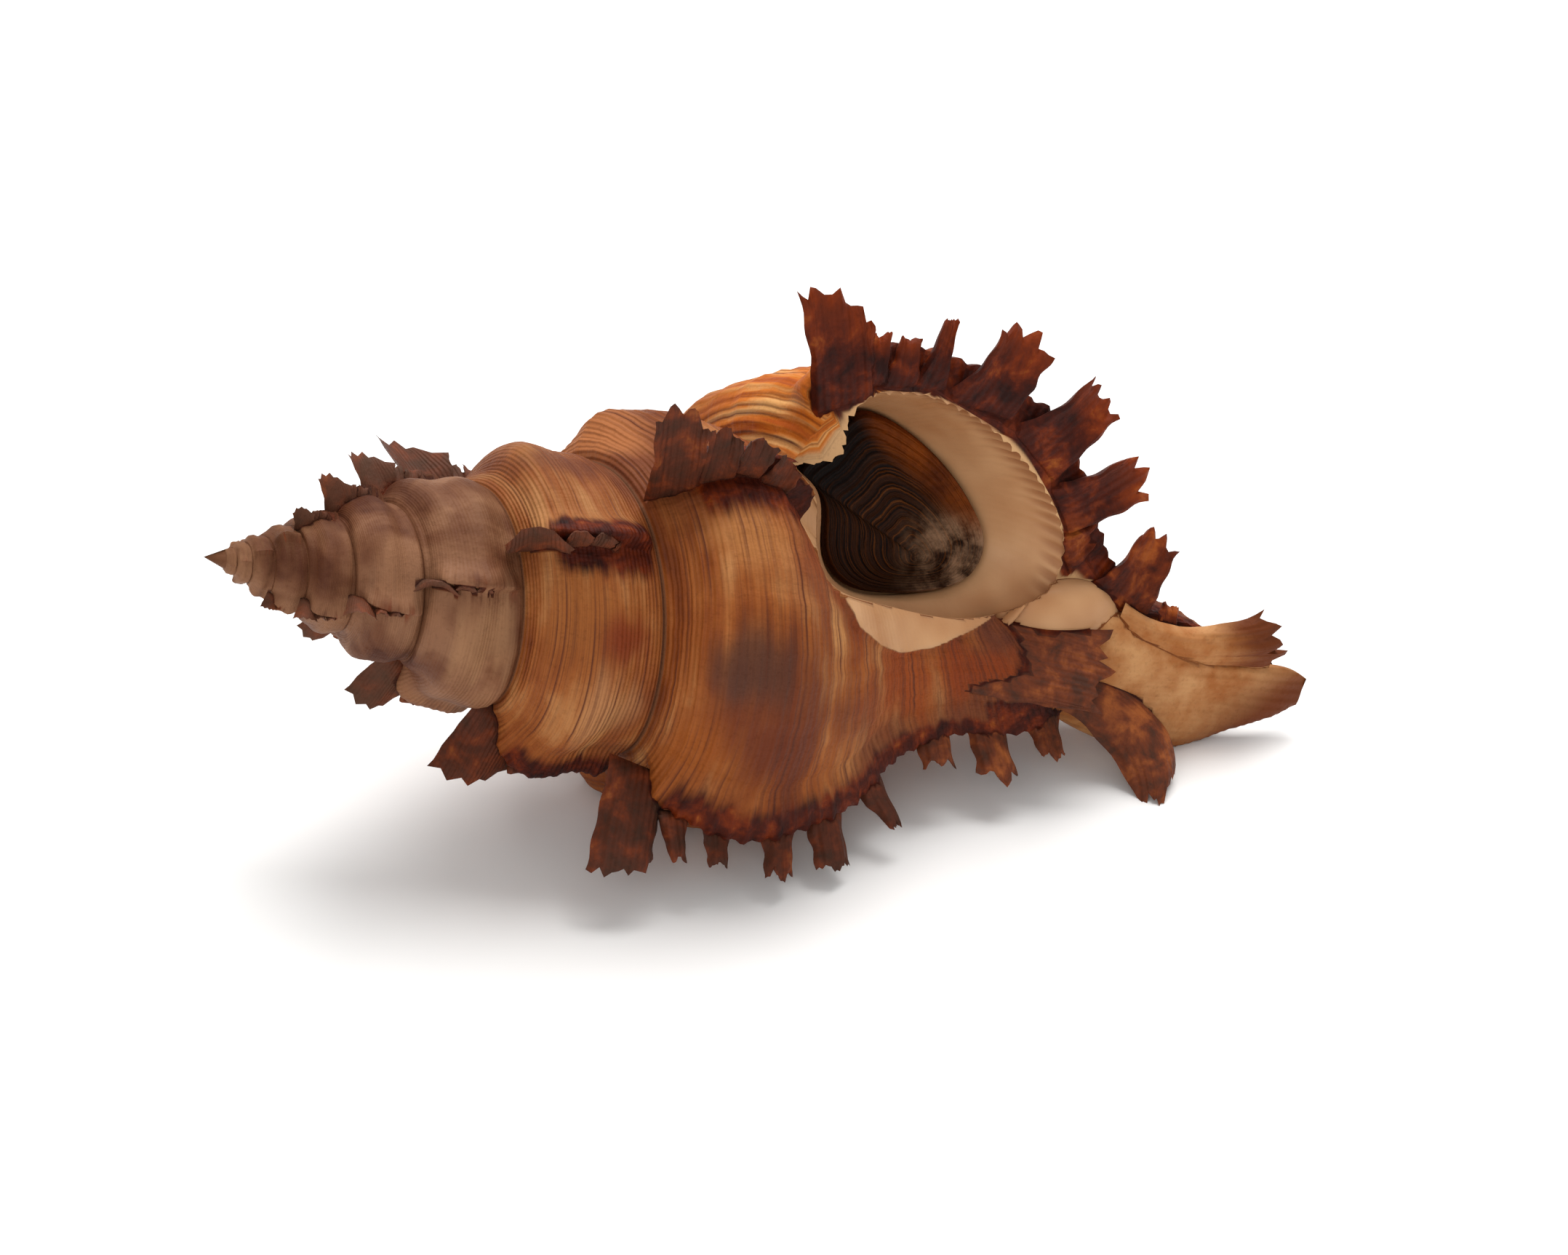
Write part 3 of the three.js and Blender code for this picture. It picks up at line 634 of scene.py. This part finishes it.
def joined(base, others, operation):
    """The base with the others added to it or taken out of it as solids. The others are then removed."""
    group = bpy.data.collections.new("others")
    for other in others:
        group.objects.link(other)
    step = base.modifiers.new("step", "BOOLEAN")
    step.operation = operation
    step.operand_type = "COLLECTION"
    step.collection = group
    step.solver = "MANIFOLD"
    view = bpy.context.evaluated_depsgraph_get()
    mesh = bpy.data.meshes.new_from_object(base.evaluated_get(view))
    base.modifiers.clear()
    base.data = mesh
    for other in others:
        bpy.data.objects.remove(other)
    bpy.data.collections.remove(group)


def read(mesh, name):
    """A named value at the points of a mesh, or nothing where no piece had it."""
    value = np.zeros(len(mesh.vertices))
    if name in mesh.attributes:
        mesh.attributes[name].data.foreach_get("value", value)
    return value


def write(mesh, name, value):
    """The named value put back."""
    mesh.attributes[name].data.foreach_set("value", value.astype(np.float32))


joined(shell, pieces, "UNION")
joined(shell, [mouth_hollow()], "DIFFERENCE")
mesh = shell.data
corner_point = np.empty(len(mesh.loops), dtype=int)
mesh.loops.foreach_get("vertex_index", corner_point)
face_start = np.empty(len(mesh.polygons), dtype=int)
mesh.polygons.foreach_get("loop_start", face_start)
face_size = np.diff(np.append(face_start, len(corner_point)))


def any_point(mask):
    """For each face, whether any of its points is in the mask."""
    return np.maximum.reduceat(mask[corner_point].astype(int), face_start) > 0


def points_of(faces):
    """The points of the chosen faces."""
    return corner_point[np.repeat(faces, face_size)]


# The lining is cream out to the very rim: every point of a face that the hollow left, apart from the lip's
# own flat face, whose points all stand in one plane.
place = np.empty(3 * len(mesh.vertices))
mesh.vertices.foreach_get("co", place)
axis_point, lip_front = laid(60.0, 0.0, np.array([0.0, 1.0]), 0.0)
off_plane = np.abs((place.reshape(-1, 3) - axis_point) @ (lip_front - axis_point)) / MM > 0.01 * MM
mouth_value = read(mesh, "mouth")
mouth_value[points_of(any_point(mouth_value > 0.5) & any_point(off_plane))] = 1.0
write(mesh, "mouth", mouth_value)

# A frond is dark down to where it joins the shell, so every point of a face with some frond counts as frond.
frond_value, varix_value = read(mesh, "frond"), read(mesh, "varix")
touched = points_of(any_point(frond_value > 0.0))
frond_value[touched] = np.maximum(frond_value[touched], 0.05)
varix_value[touched] = 1.0
write(mesh, "frond", frond_value)
write(mesh, "varix", varix_value)

# What would reach below the surface that the shell lies on is worn flat.
place[2::3] = np.maximum(place[2::3], 0.0)
mesh.vertices.foreach_set("co", place)
mesh.update()
mesh.shade_smooth()
mesh.set_sharp_from_angle(angle=SHARP_ANGLE)


def tone(red, green, blue):
    """Red, green and blue out of 255 as linear values: a power of 2.2 of each share."""
    return tuple((c / 255.0) ** 2.2 for c in (red, green, blue)) + (1.0,)


class Tree:
    """Short ways to place shader nodes in a material or a node group. Colours are given out of 255."""

    def __init__(self, tree):
        self.tree = tree

    def node(self, kind, settings=(), **inputs):
        made = self.tree.nodes.new(kind)
        for key, value in dict(settings).items():
            setattr(made, key, value)
        for key, value in inputs.items():
            self.put(value, made.inputs[key.replace("_", " ")])
        return made

    def put(self, value, socket):
        if isinstance(value, bpy.types.NodeSocket):
            self.tree.links.new(value, socket)
        else:
            socket.default_value = value

    def read(self, name):
        return self.node("ShaderNodeAttribute", {"attribute_name": name}).outputs["Fac"]

    def here(self):
        return self.node("ShaderNodeTexCoord").outputs["Object"]

    def math(self, operation, a, b=0.0):
        made = self.node("ShaderNodeMath", {"operation": operation})
        for socket, value in zip(made.inputs, (a, b)):
            self.put(value, socket)
        return made.outputs[0]

    def plus(self, a, b):
        return self.math("ADD", a, b)

    def less(self, a, b):
        return self.math("SUBTRACT", a, b)

    def times(self, a, b):
        return self.math("MULTIPLY", a, b)

    def cosine(self, a):
        return self.math("COSINE", a)

    def step(self, value, low, high, to_low=0.0, to_high=1.0):
        made = self.node("ShaderNodeMapRange", {"interpolation_type": "SMOOTHSTEP"}, Value=value)
        for key, number in (("From Min", low), ("From Max", high), ("To Min", to_low), ("To Max", to_high)):
            self.put(number, made.inputs[key])
        return made.outputs[0]

    def noise(self, where, scale, detail=4.0, roughness=0.55, stretch=None, distortion=0.0):
        if stretch is not None:
            where = self.node("ShaderNodeMapping", Vector=where, Scale=stretch).outputs[0]
        made = self.node("ShaderNodeTexNoise", Vector=where, Scale=scale, Detail=detail, Roughness=roughness,
                         Distortion=distortion)
        return made.outputs["Fac"]

    def mix(self, share, a, b):
        made = self.node("ShaderNodeMix", {"data_type": "RGBA", "clamp_factor": True})
        self.put(share, made.inputs["Factor"])
        for socket, colour in ((made.inputs[6], a), (made.inputs[7], b)):     # its two colours
            self.put(tone(*colour) if isinstance(colour, tuple) else colour, socket)
        return made.outputs[2]

    def ramp(self, value, stops):
        made = self.node("ShaderNodeValToRGB", Fac=value)
        band = made.color_ramp
        while len(band.elements) < len(stops):
            band.elements.new(0.5)
        for element, (at, *colour) in zip(band.elements, stops):
            element.position = at
            element.color = tone(*colour)
        return made.outputs[0]


def new_group(name, inputs, outputs):
    """A shader node group with named sockets, all numbers but for a vector, and its Tree and its two ends."""
    group = bpy.data.node_groups.new(name, "ShaderNodeTree")
    for keys, way in ((inputs, "INPUT"), (outputs, "OUTPUT")):
        for key in keys:
            kind = "NodeSocketVector" if key == "Vector" else "NodeSocketFloat"
            group.interface.new_socket(key, in_out=way, socket_type=kind)
    tree = Tree(group)
    return group, tree, group.nodes.new("NodeGroupInput"), group.nodes.new("NodeGroupOutput")


def new_material(name):
    """An empty material with its Tree and its surface shader."""
    material = bpy.data.materials.new(name)
    material.use_nodes = True
    tree = Tree(material.node_tree)
    return material, tree, material.node_tree.nodes["Principled BSDF"]


# Fine grain, as both shell and horn have it: specks in the colour and pits in the surface.
grain_group, t, group_in, group_out = new_group("fine_grain", ["Vector", "Scale", "Amount"],
                                                ["Height", "Speck"])
coarse = t.noise(group_in.outputs["Vector"], group_in.outputs["Scale"], detail=5.0, roughness=0.7)
twice = t.times(group_in.outputs["Scale"], 2.7)
fine = t.noise(group_in.outputs["Vector"], twice, detail=3.0, roughness=0.6)
height = t.times(t.plus(coarse, t.times(fine, 0.5)), group_in.outputs["Amount"])
t.put(height, group_out.inputs["Height"])
t.put(t.step(fine, 0.52, 0.7), group_out.inputs["Speck"])


def grain(tree, where, scale, amount):
    """The fine grain group placed in a material."""
    made = tree.node("ShaderNodeGroup", {"node_tree": grain_group}, Vector=where, Scale=scale, Amount=amount)
    return made.outputs["Height"], made.outputs["Speck"]


# A soft round patch in the shell's own coordinates: its length along the profile and its turn.
spot_group, t, group_in, group_out = new_group(
    "soft_spot", ["Length", "Turn", "At Length", "At Turn", "Length Size", "Turn Size", "Waver"], ["Mask"])
offs = [t.math("DIVIDE", t.less(group_in.outputs[key], group_in.outputs["At " + key]),
               group_in.outputs[key + " Size"]) for key in ("Length", "Turn")]
away = t.math("SQRT", t.plus(*[t.times(off, off) for off in offs]))
away = t.plus(away, t.times(t.less(group_in.outputs["Waver"], 0.5), 2.0))
t.put(t.step(away, 1.2, 0.3), group_out.inputs["Mask"])

# Where the shell's colour changes in large patches: length, turn, their sizes, colour, and how strongly.
PATCHES = [
    (17.0, -0.86, 6.0, 0.05, (112, 54, 32), 0.7), (24.0, -0.86, 6.0, 0.06, (118, 58, 30), 0.7),
    (13.0, -0.745, 7.0, 0.08, (98, 46, 26), 0.8), (9.5, -0.785, 4.0, 0.035, (74, 50, 40), 0.7),
    (5.0, -0.67, 4.0, 0.06, (150, 80, 30), 0.7), (10.0, -0.885, 5.0, 0.03, (168, 110, 62), 0.7),
    (29.0, -0.75, 7.0, 0.08, (138, 62, 20), 0.85), (38.0, -0.76, 5.0, 0.06, (126, 54, 18), 0.85),
    (4.0, -1.07, 5.0, 0.06, (172, 106, 62), 0.8), (8.0, -1.8, 6.0, 0.07, (146, 86, 42), 0.7),
    (13.5, -1.69, 5.0, 0.06, (176, 124, 82), 0.7), (15.0, -1.78, 4.0, 0.03, (112, 40, 16), 0.7),
    (10.0, -2.0, 6.0, 0.03, (104, 60, 42), 0.6), (13.0, -2.74, 7.0, 0.08, (158, 116, 82), 0.6),
    (17.0, -1.62, 4.0, 0.07, (122, 64, 34), 0.6),
]


def shell_material():
    """Shell: soft patches of orange, tan and purplish brown, faint streaks and fine dark cords that run with
    the spiral, painted shade along the sutures, dark fronds and varices, a greyer spire, a pale rough canal
    and a smooth cream mouth."""
    material, t, surface = new_material("murex_shell")
    here = t.here()
    length, turn, seam, pleat = (t.read(key) for key in ("along_profile", "turn", "seam", "pleat"))
    varix, callus, mouth, canal_share, leaf = (t.read(key) for key in
                                               ("varix", "callus", "mouth", "canal", "frond"))
    grown = t.node("ShaderNodeCombineXYZ", X=length, Y=t.times(turn, 60.0)).outputs[0]

    patches = t.noise(here, 110.0, detail=4.0, roughness=0.55, distortion=0.4)
    streaks = t.noise(grown, 0.9, detail=5.0, roughness=0.6, stretch=(1.0, 0.14, 1.0))
    broad = t.noise(grown, 0.3, detail=2.0, roughness=0.5, stretch=(1.0, 0.35, 1.0))
    warm = t.plus(t.times(streaks, 0.22), t.times(patches, 0.48))
    warm = t.plus(warm, t.times(broad, 0.3))
    body = t.ramp(warm, [(0.38, 88, 42, 22), (0.46, 128, 66, 28), (0.53, 148, 84, 40), (0.63, 176, 120, 72)])
    purple = t.step(t.noise(here, 75.0, detail=2.0, roughness=0.5), 0.5, 0.64)
    body = t.mix(t.times(purple, 0.6), body, (94, 52, 38))

    spire = t.step(turn, -1.55, -2.9)
    blotch = t.noise(here, 210.0, detail=3.0, roughness=0.5, distortion=0.5)
    grey = t.ramp(blotch, [(0.38, 70, 40, 28), (0.5, 101, 66, 47), (0.62, 133, 95, 70)])
    body = t.mix(t.times(spire, 0.88), body, grey)
    for *numbers, colour, share in PATCHES:
        spot = t.node("ShaderNodeGroup", {"node_tree": spot_group}, Length=length, Turn=turn, Waver=broad)
        for key, number in zip(("At Length", "At Turn", "Length Size", "Turn Size"), numbers):
            spot.inputs[key].default_value = number
        body = t.mix(t.times(spot.outputs["Mask"], share), body, colour)

    beside_lip = t.times(t.step(turn, -0.19, -0.06), t.step(length, 13.0, 8.0))
    flame = t.ramp(streaks, [(0.4, 168, 80, 22), (0.52, 202, 114, 42), (0.64, 218, 160, 98)])
    flame = t.mix(t.step(length, 1.4, 0.5), flame, (202, 158, 112))
    body = t.mix(beside_lip, body, flame)

    line = t.cosine(t.times(length, 2.0 * np.pi / CORD_STEP))
    fine = t.cosine(t.times(length, 4.6 * np.pi / CORD_STEP))
    line = t.plus(t.times(t.step(line, -0.6, -1.0), 0.7), t.times(t.step(fine, -0.5, -1.0), 0.6))
    patchy = t.step(t.noise(grown, 0.4, stretch=(1.0, 0.25, 1.0)), 0.42, 0.62, 0.08, 0.75)
    patchy = t.times(patchy, t.less(1.0, t.times(spire, 0.8)))
    body = t.mix(t.times(line, patchy), body, (84, 42, 26))
    # Painted shade: the sutures are darkened to brown, as if the crease between the whorls were in shadow.
    body = t.mix(t.times(t.step(seam, 0.0, 0.5), 0.9), body, (104, 66, 44))

    ragged = t.plus(varix, t.times(t.less(streaks, 0.5), 1.2))
    mottle = t.noise(here, 620.0, detail=4.0, roughness=0.6, distortion=0.3)
    rust = t.ramp(mottle, [(0.34, 42, 14, 4), (0.5, 72, 25, 6), (0.62, 106, 41, 9), (0.74, 146, 76, 30)])
    body = t.mix(t.step(ragged, 0.3, 0.8), body, rust)
    tips = t.times(t.step(leaf, 0.5, 1.0), t.step(turn, -0.4, 0.0))
    rust = t.mix(t.times(tips, 0.4), rust, (140, 56, 16))
    body = t.mix(t.step(leaf, 0.0, 0.04), body, rust)
    by_canal = t.times(t.step(length, 250.0, 258.0), t.step(leaf, 0.0, 0.04))
    orange = t.ramp(mottle, [(0.36, 58, 22, 6), (0.5, 108, 45, 12), (0.66, 160, 86, 36)])
    body = t.mix(t.times(by_canal, 0.7), body, orange)
    greyed = t.plus(t.step(turn, -0.2, -0.5, 0.0, 0.2), t.step(turn, -1.4, -2.4, 0.0, 0.2))
    greyed = t.times(greyed, t.step(leaf, 0.0, 0.04))
    body = t.mix(greyed, body, (116, 82, 62))

    pale_canal = t.ramp(t.noise(here, 420.0, detail=4.0), [(0.35, 158, 96, 50), (0.65, 190, 138, 90)])
    brown_tip = t.mix(patches, (72, 33, 13), (118, 60, 27))
    pale_canal = t.mix(t.step(canal_share, 1.15, 1.5), pale_canal, brown_tip)
    body = t.mix(t.step(canal_share, 0.4, 0.9), body, pale_canal)

    cream = t.ramp(t.noise(here, 200.0, detail=2.0), [(0.35, 176, 126, 86), (0.65, 198, 152, 110)])
    cream = t.mix(t.times(t.step(pleat, 0.25, 0.95), 0.55), cream, (134, 78, 46))
    lined = t.math("MAXIMUM", t.step(callus, 0.35, 0.6), t.step(mouth, 0.6, 0.9))
    colour = t.mix(lined, body, cream)

    height, speck = grain(t, here, 1400.0, 1.0)
    colour = t.mix(t.times(speck, t.less(0.14, t.times(lined, 0.12))), colour, (52, 30, 22))
    t.put(colour, surface.inputs["Base Color"])
    rough = t.less(t.plus(0.62, t.times(speck, 0.12)), t.times(lined, 0.24))
    t.put(rough, surface.inputs["Roughness"])
    surface.inputs["Specular IOR Level"].default_value = 0.16

    growth_line = t.noise(grown, 2.2, detail=3.0, stretch=(0.15, 1.0, 1.0))
    ridge = t.cosine(t.times(length, 4.0 * np.pi / CORD_STEP))
    lines_share = t.less(0.6, t.times(spire, 0.45))
    rise = t.plus(t.times(height, 0.3), t.times(growth_line, lines_share))
    ridge = t.times(ridge, t.less(0.16, t.times(spire, 0.13)))
    rise = t.plus(rise, ridge)
    rise = t.times(rise, t.less(1.0, t.times(lined, 0.9)))
    bump = t.node("ShaderNodeBump", Height=rise, Strength=0.55, Distance=0.00035)
    t.put(bump.outputs[0], surface.inputs["Normal"])
    return material


mesh.materials.clear()
mesh.materials.append(shell_material())
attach(shell, "root")
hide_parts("shell")

# ------------------------------
# The operculum
# A plate of dark horn that closes the mouth. The animal grew it at one edge, ring by ring, so growth lines
# follow its outline round a starting point near the canal. It is dished a little and has a thin edge.
# ------------------------------
OPERCULUM_TURN = -0.075
OPERCULUM_GAP = 0.975               # its outline as a share of the mouth's where it sits
OPERCULUM_THICKNESS = 0.9
NUCLEUS = np.array([45.6, 4.6])     # its starting point
RINGS = 90
RING_HEIGHT = 0.05
DISH = 0.35                         # how far its edge stands ahead of its starting point


def operculum_plate():
    """Copies of the mouth's outline shrunk towards the starting point, ring by ring. The front stands ahead
    by a dish, the square of a ring's size, and by sines of its size for the growth lines. The back has the
    same dish and no lines. Both close on the starting point and meet at the edge."""
    outline = mouth_outline([OPERCULUM_TURN])[0]
    outline = INSIDE_MIDDLE + (outline[0] - INSIDE_MIDDLE) * OPERCULUM_GAP
    size = np.linspace(1.0, 0.0, RINGS + 1)[:-1, None]
    p = NUCLEUS + (outline[None] - NUCLEUS) * size[..., None]
    q = 2.0 * np.pi * np.arange(MOUTH_SIDES)[None] / MOUTH_SIDES
    uneven = size * 26.0 + 0.5 * np.sin(2.0 * q) + 0.25 * np.sin(5.0 * q)
    lines = np.sin(np.pi * uneven) + 0.6 * np.sin(2.3 * np.pi * uneven + 1.0)
    rim = smooth(0.0, 0.05, 1.0 - size)
    dish = 0.5 * OPERCULUM_THICKNESS * rim + DISH * size ** 2 + RING_HEIGHT * lines * rim
    below = DISH * size ** 2 - 0.5 * OPERCULUM_THICKNESS * rim + 0.0 * q
    front = np.arange(size.size * MOUTH_SIDES).reshape(-1, MOUTH_SIDES)
    back = front + front.size - MOUTH_SIDES
    back[0] = front[0]
    faces = []
    places = [laid(p[..., 0], p[..., 1], dish, OPERCULUM_TURN).reshape(-1, 3),
              laid(p[1:, :, 0], p[1:, :, 1], below[1:], OPERCULUM_TURN).reshape(-1, 3)]
    count = sum(len(one) for one in places)
    for lift in (dish[-1].mean(), -0.5 * OPERCULUM_THICKNESS):
        places.append(laid(*NUCLEUS, lift, OPERCULUM_TURN)[None])
    for side, grid in enumerate((front, back)):
        closed = np.concatenate([grid, grid[:, :1]], axis=1)
        fan = np.stack([closed[-1, 1:], closed[-1, :-1], np.full(MOUTH_SIDES, count + side)], axis=1)
        sheet = [grid_quads(closed), fan]
        faces += [face[:, ::-1] for face in sheet] if side else sheet
    values = {"ring": size + 0.0 * q, "along": p[..., 0], "out": p[..., 1]}
    values = {key: np.concatenate([value.ravel(), value[1:].ravel(), 2 * [value[-1].mean()]])
              for key, value in values.items()}
    return mesh_from("operculum_plate", np.vstack(places), faces, values)


def horn_material():
    """Horn: brown growth lines, a very dark painted shadow at its posterior end under the edge of the whorl,
    an ochre band along the outer edge and a grainy grey bloom beside the canal."""
    material, t, surface = new_material("operculum_horn")
    here = t.here()
    ring, along, out = (t.read(key) for key in ("ring", "along", "out"))
    blot = t.noise(here, 260.0, detail=6.0, roughness=0.72)
    soft = t.noise(here, 120.0, detail=2.0)
    uneven = t.plus(ring, t.times(blot, 0.07))
    lines = t.noise(t.node("ShaderNodeCombineXYZ", X=uneven).outputs[0], 44.0, detail=3.0)
    dark = t.ramp(lines, [(0.42, 22, 10, 4), (0.56, 60, 32, 10), (0.68, 104, 60, 22)])
    # Painted shadow: very dark towards the posterior end of the mouth, where the whorl's edge shades the
    # plate.
    painted_shadow = t.times(t.step(along, 43.0, 39.0), t.step(out, 6.0, 9.0))
    dark = t.mix(t.times(painted_shadow, 0.85), dark, (12, 6, 4))
    slant = t.plus(t.times(along, 0.64), t.times(out, 0.77))
    slant = t.plus(slant, t.times(t.less(soft, 0.5), 2.5))
    band = t.times(t.step(slant, 35.0, 36.8), t.step(out, 5.4, 7.4))
    dark = t.mix(t.times(band, 0.85), dark, t.ramp(blot, [(0.35, 78, 34, 4), (0.6, 126, 62, 14)]))
    bloom = t.times(t.step(along, 43.2, 47.5), t.step(out, 8.4, 6.0))
    bloom = t.times(bloom, t.step(blot, 0.4, 0.62))
    dark = t.mix(t.times(bloom, 0.75), dark, (168, 130, 100))
    t.put(dark, surface.inputs["Base Color"])
    surface.inputs["Specular IOR Level"].default_value = 0.1
    height, speck = grain(t, here, 1600.0, 0.6)
    t.put(t.plus(0.5, t.times(speck, 0.2)), surface.inputs["Roughness"])
    rise = t.plus(t.times(height, 0.5), lines)
    bump = t.node("ShaderNodeBump", Height=rise, Strength=0.6, Distance=0.0003)
    t.put(bump.outputs[0], surface.inputs["Normal"])
    return material


operculum = operculum_plate()
operculum.data.shade_smooth()
operculum.data.materials.append(horn_material())
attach(operculum, "root")
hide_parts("operculum")

# ------------------------------
# The studio
# A pale sweep of floor, soft light from above and behind, a weaker one in front, and the camera.
# ------------------------------
FLOOR_SIZE = 3.0
CAMERA_DISTANCE = 0.25
CAMERA_HEADING = Vector((-0.353, -0.791, 0.500))    # from the shell towards the camera
CAMERA_UP = Vector((0.0953, 0.5011, 0.8603))
CAMERA_SHIFT = (-0.00065, -0.0064)
LENS = 98.1
SENSOR = 36.0
WORLD_LIGHT = 0.55
LOOK_AT = Vector(laid(36.0, 0.0, 0.0, 0.0))

half = FLOOR_SIZE / 2.0
corners = np.array([(-half, -half, 0.0), (half, -half, 0.0), (half, half, 0.0), (-half, half, 0.0)])
floor = mesh_from("floor", corners, [np.array([[0, 1, 2, 3]])], {})
floor_paint, t, surface = new_material("floor_paint")
pale = t.ramp(t.noise(t.here(), 40.0), [(0.3, 246, 245, 243), (0.7, 250, 249, 247)])
t.put(pale, surface.inputs["Base Color"])
surface.inputs["Roughness"].default_value = 0.8
floor.data.materials.append(floor_paint)


def soft_light(name, place, size, power, colour=(1.0, 1.0, 1.0)):
    """A square area light that faces the shell."""
    light = bpy.data.lights.new(name, "AREA")
    light.size = size
    light.energy = power
    light.color = colour
    lamp = bpy.data.objects.new(name, light)
    lamp.location = place
    lamp.rotation_mode = "QUATERNION"
    lamp.rotation_quaternion = (LOOK_AT - Vector(place)).to_track_quat("-Z", "Y")
    bpy.context.scene.collection.objects.link(lamp)


soft_light("top_light", (0.1, 0.25, 0.75), 0.6, 7.0)
soft_light("front_light", (-0.5, -0.7, 0.45), 0.6, 2.2)
world = bpy.data.worlds.new("studio")
world.use_nodes = True
background = world.node_tree.nodes["Background"]
background.inputs["Color"].default_value = (1.0, 1.0, 1.0, 1.0)
background.inputs["Strength"].default_value = WORLD_LIGHT
bpy.context.scene.world = world
bpy.context.scene.view_settings.view_transform = "Standard"

camera_data = bpy.data.cameras.new("camera")
camera_data.lens = LENS
camera_data.sensor_width = SENSOR
camera_data.shift_x, camera_data.shift_y = CAMERA_SHIFT
camera_data.clip_start = 0.01
camera = bpy.data.objects.new("camera", camera_data)
back = CAMERA_HEADING.normalized()
right = CAMERA_UP.cross(back).normalized()
camera.matrix_world = Matrix((right, back.cross(right), back)).transposed().to_4x4()
camera.location = LOOK_AT + back * CAMERA_DISTANCE
bpy.context.scene.collection.objects.link(camera)
bpy.context.scene.camera = camera

bpy.context.view_layer.update()
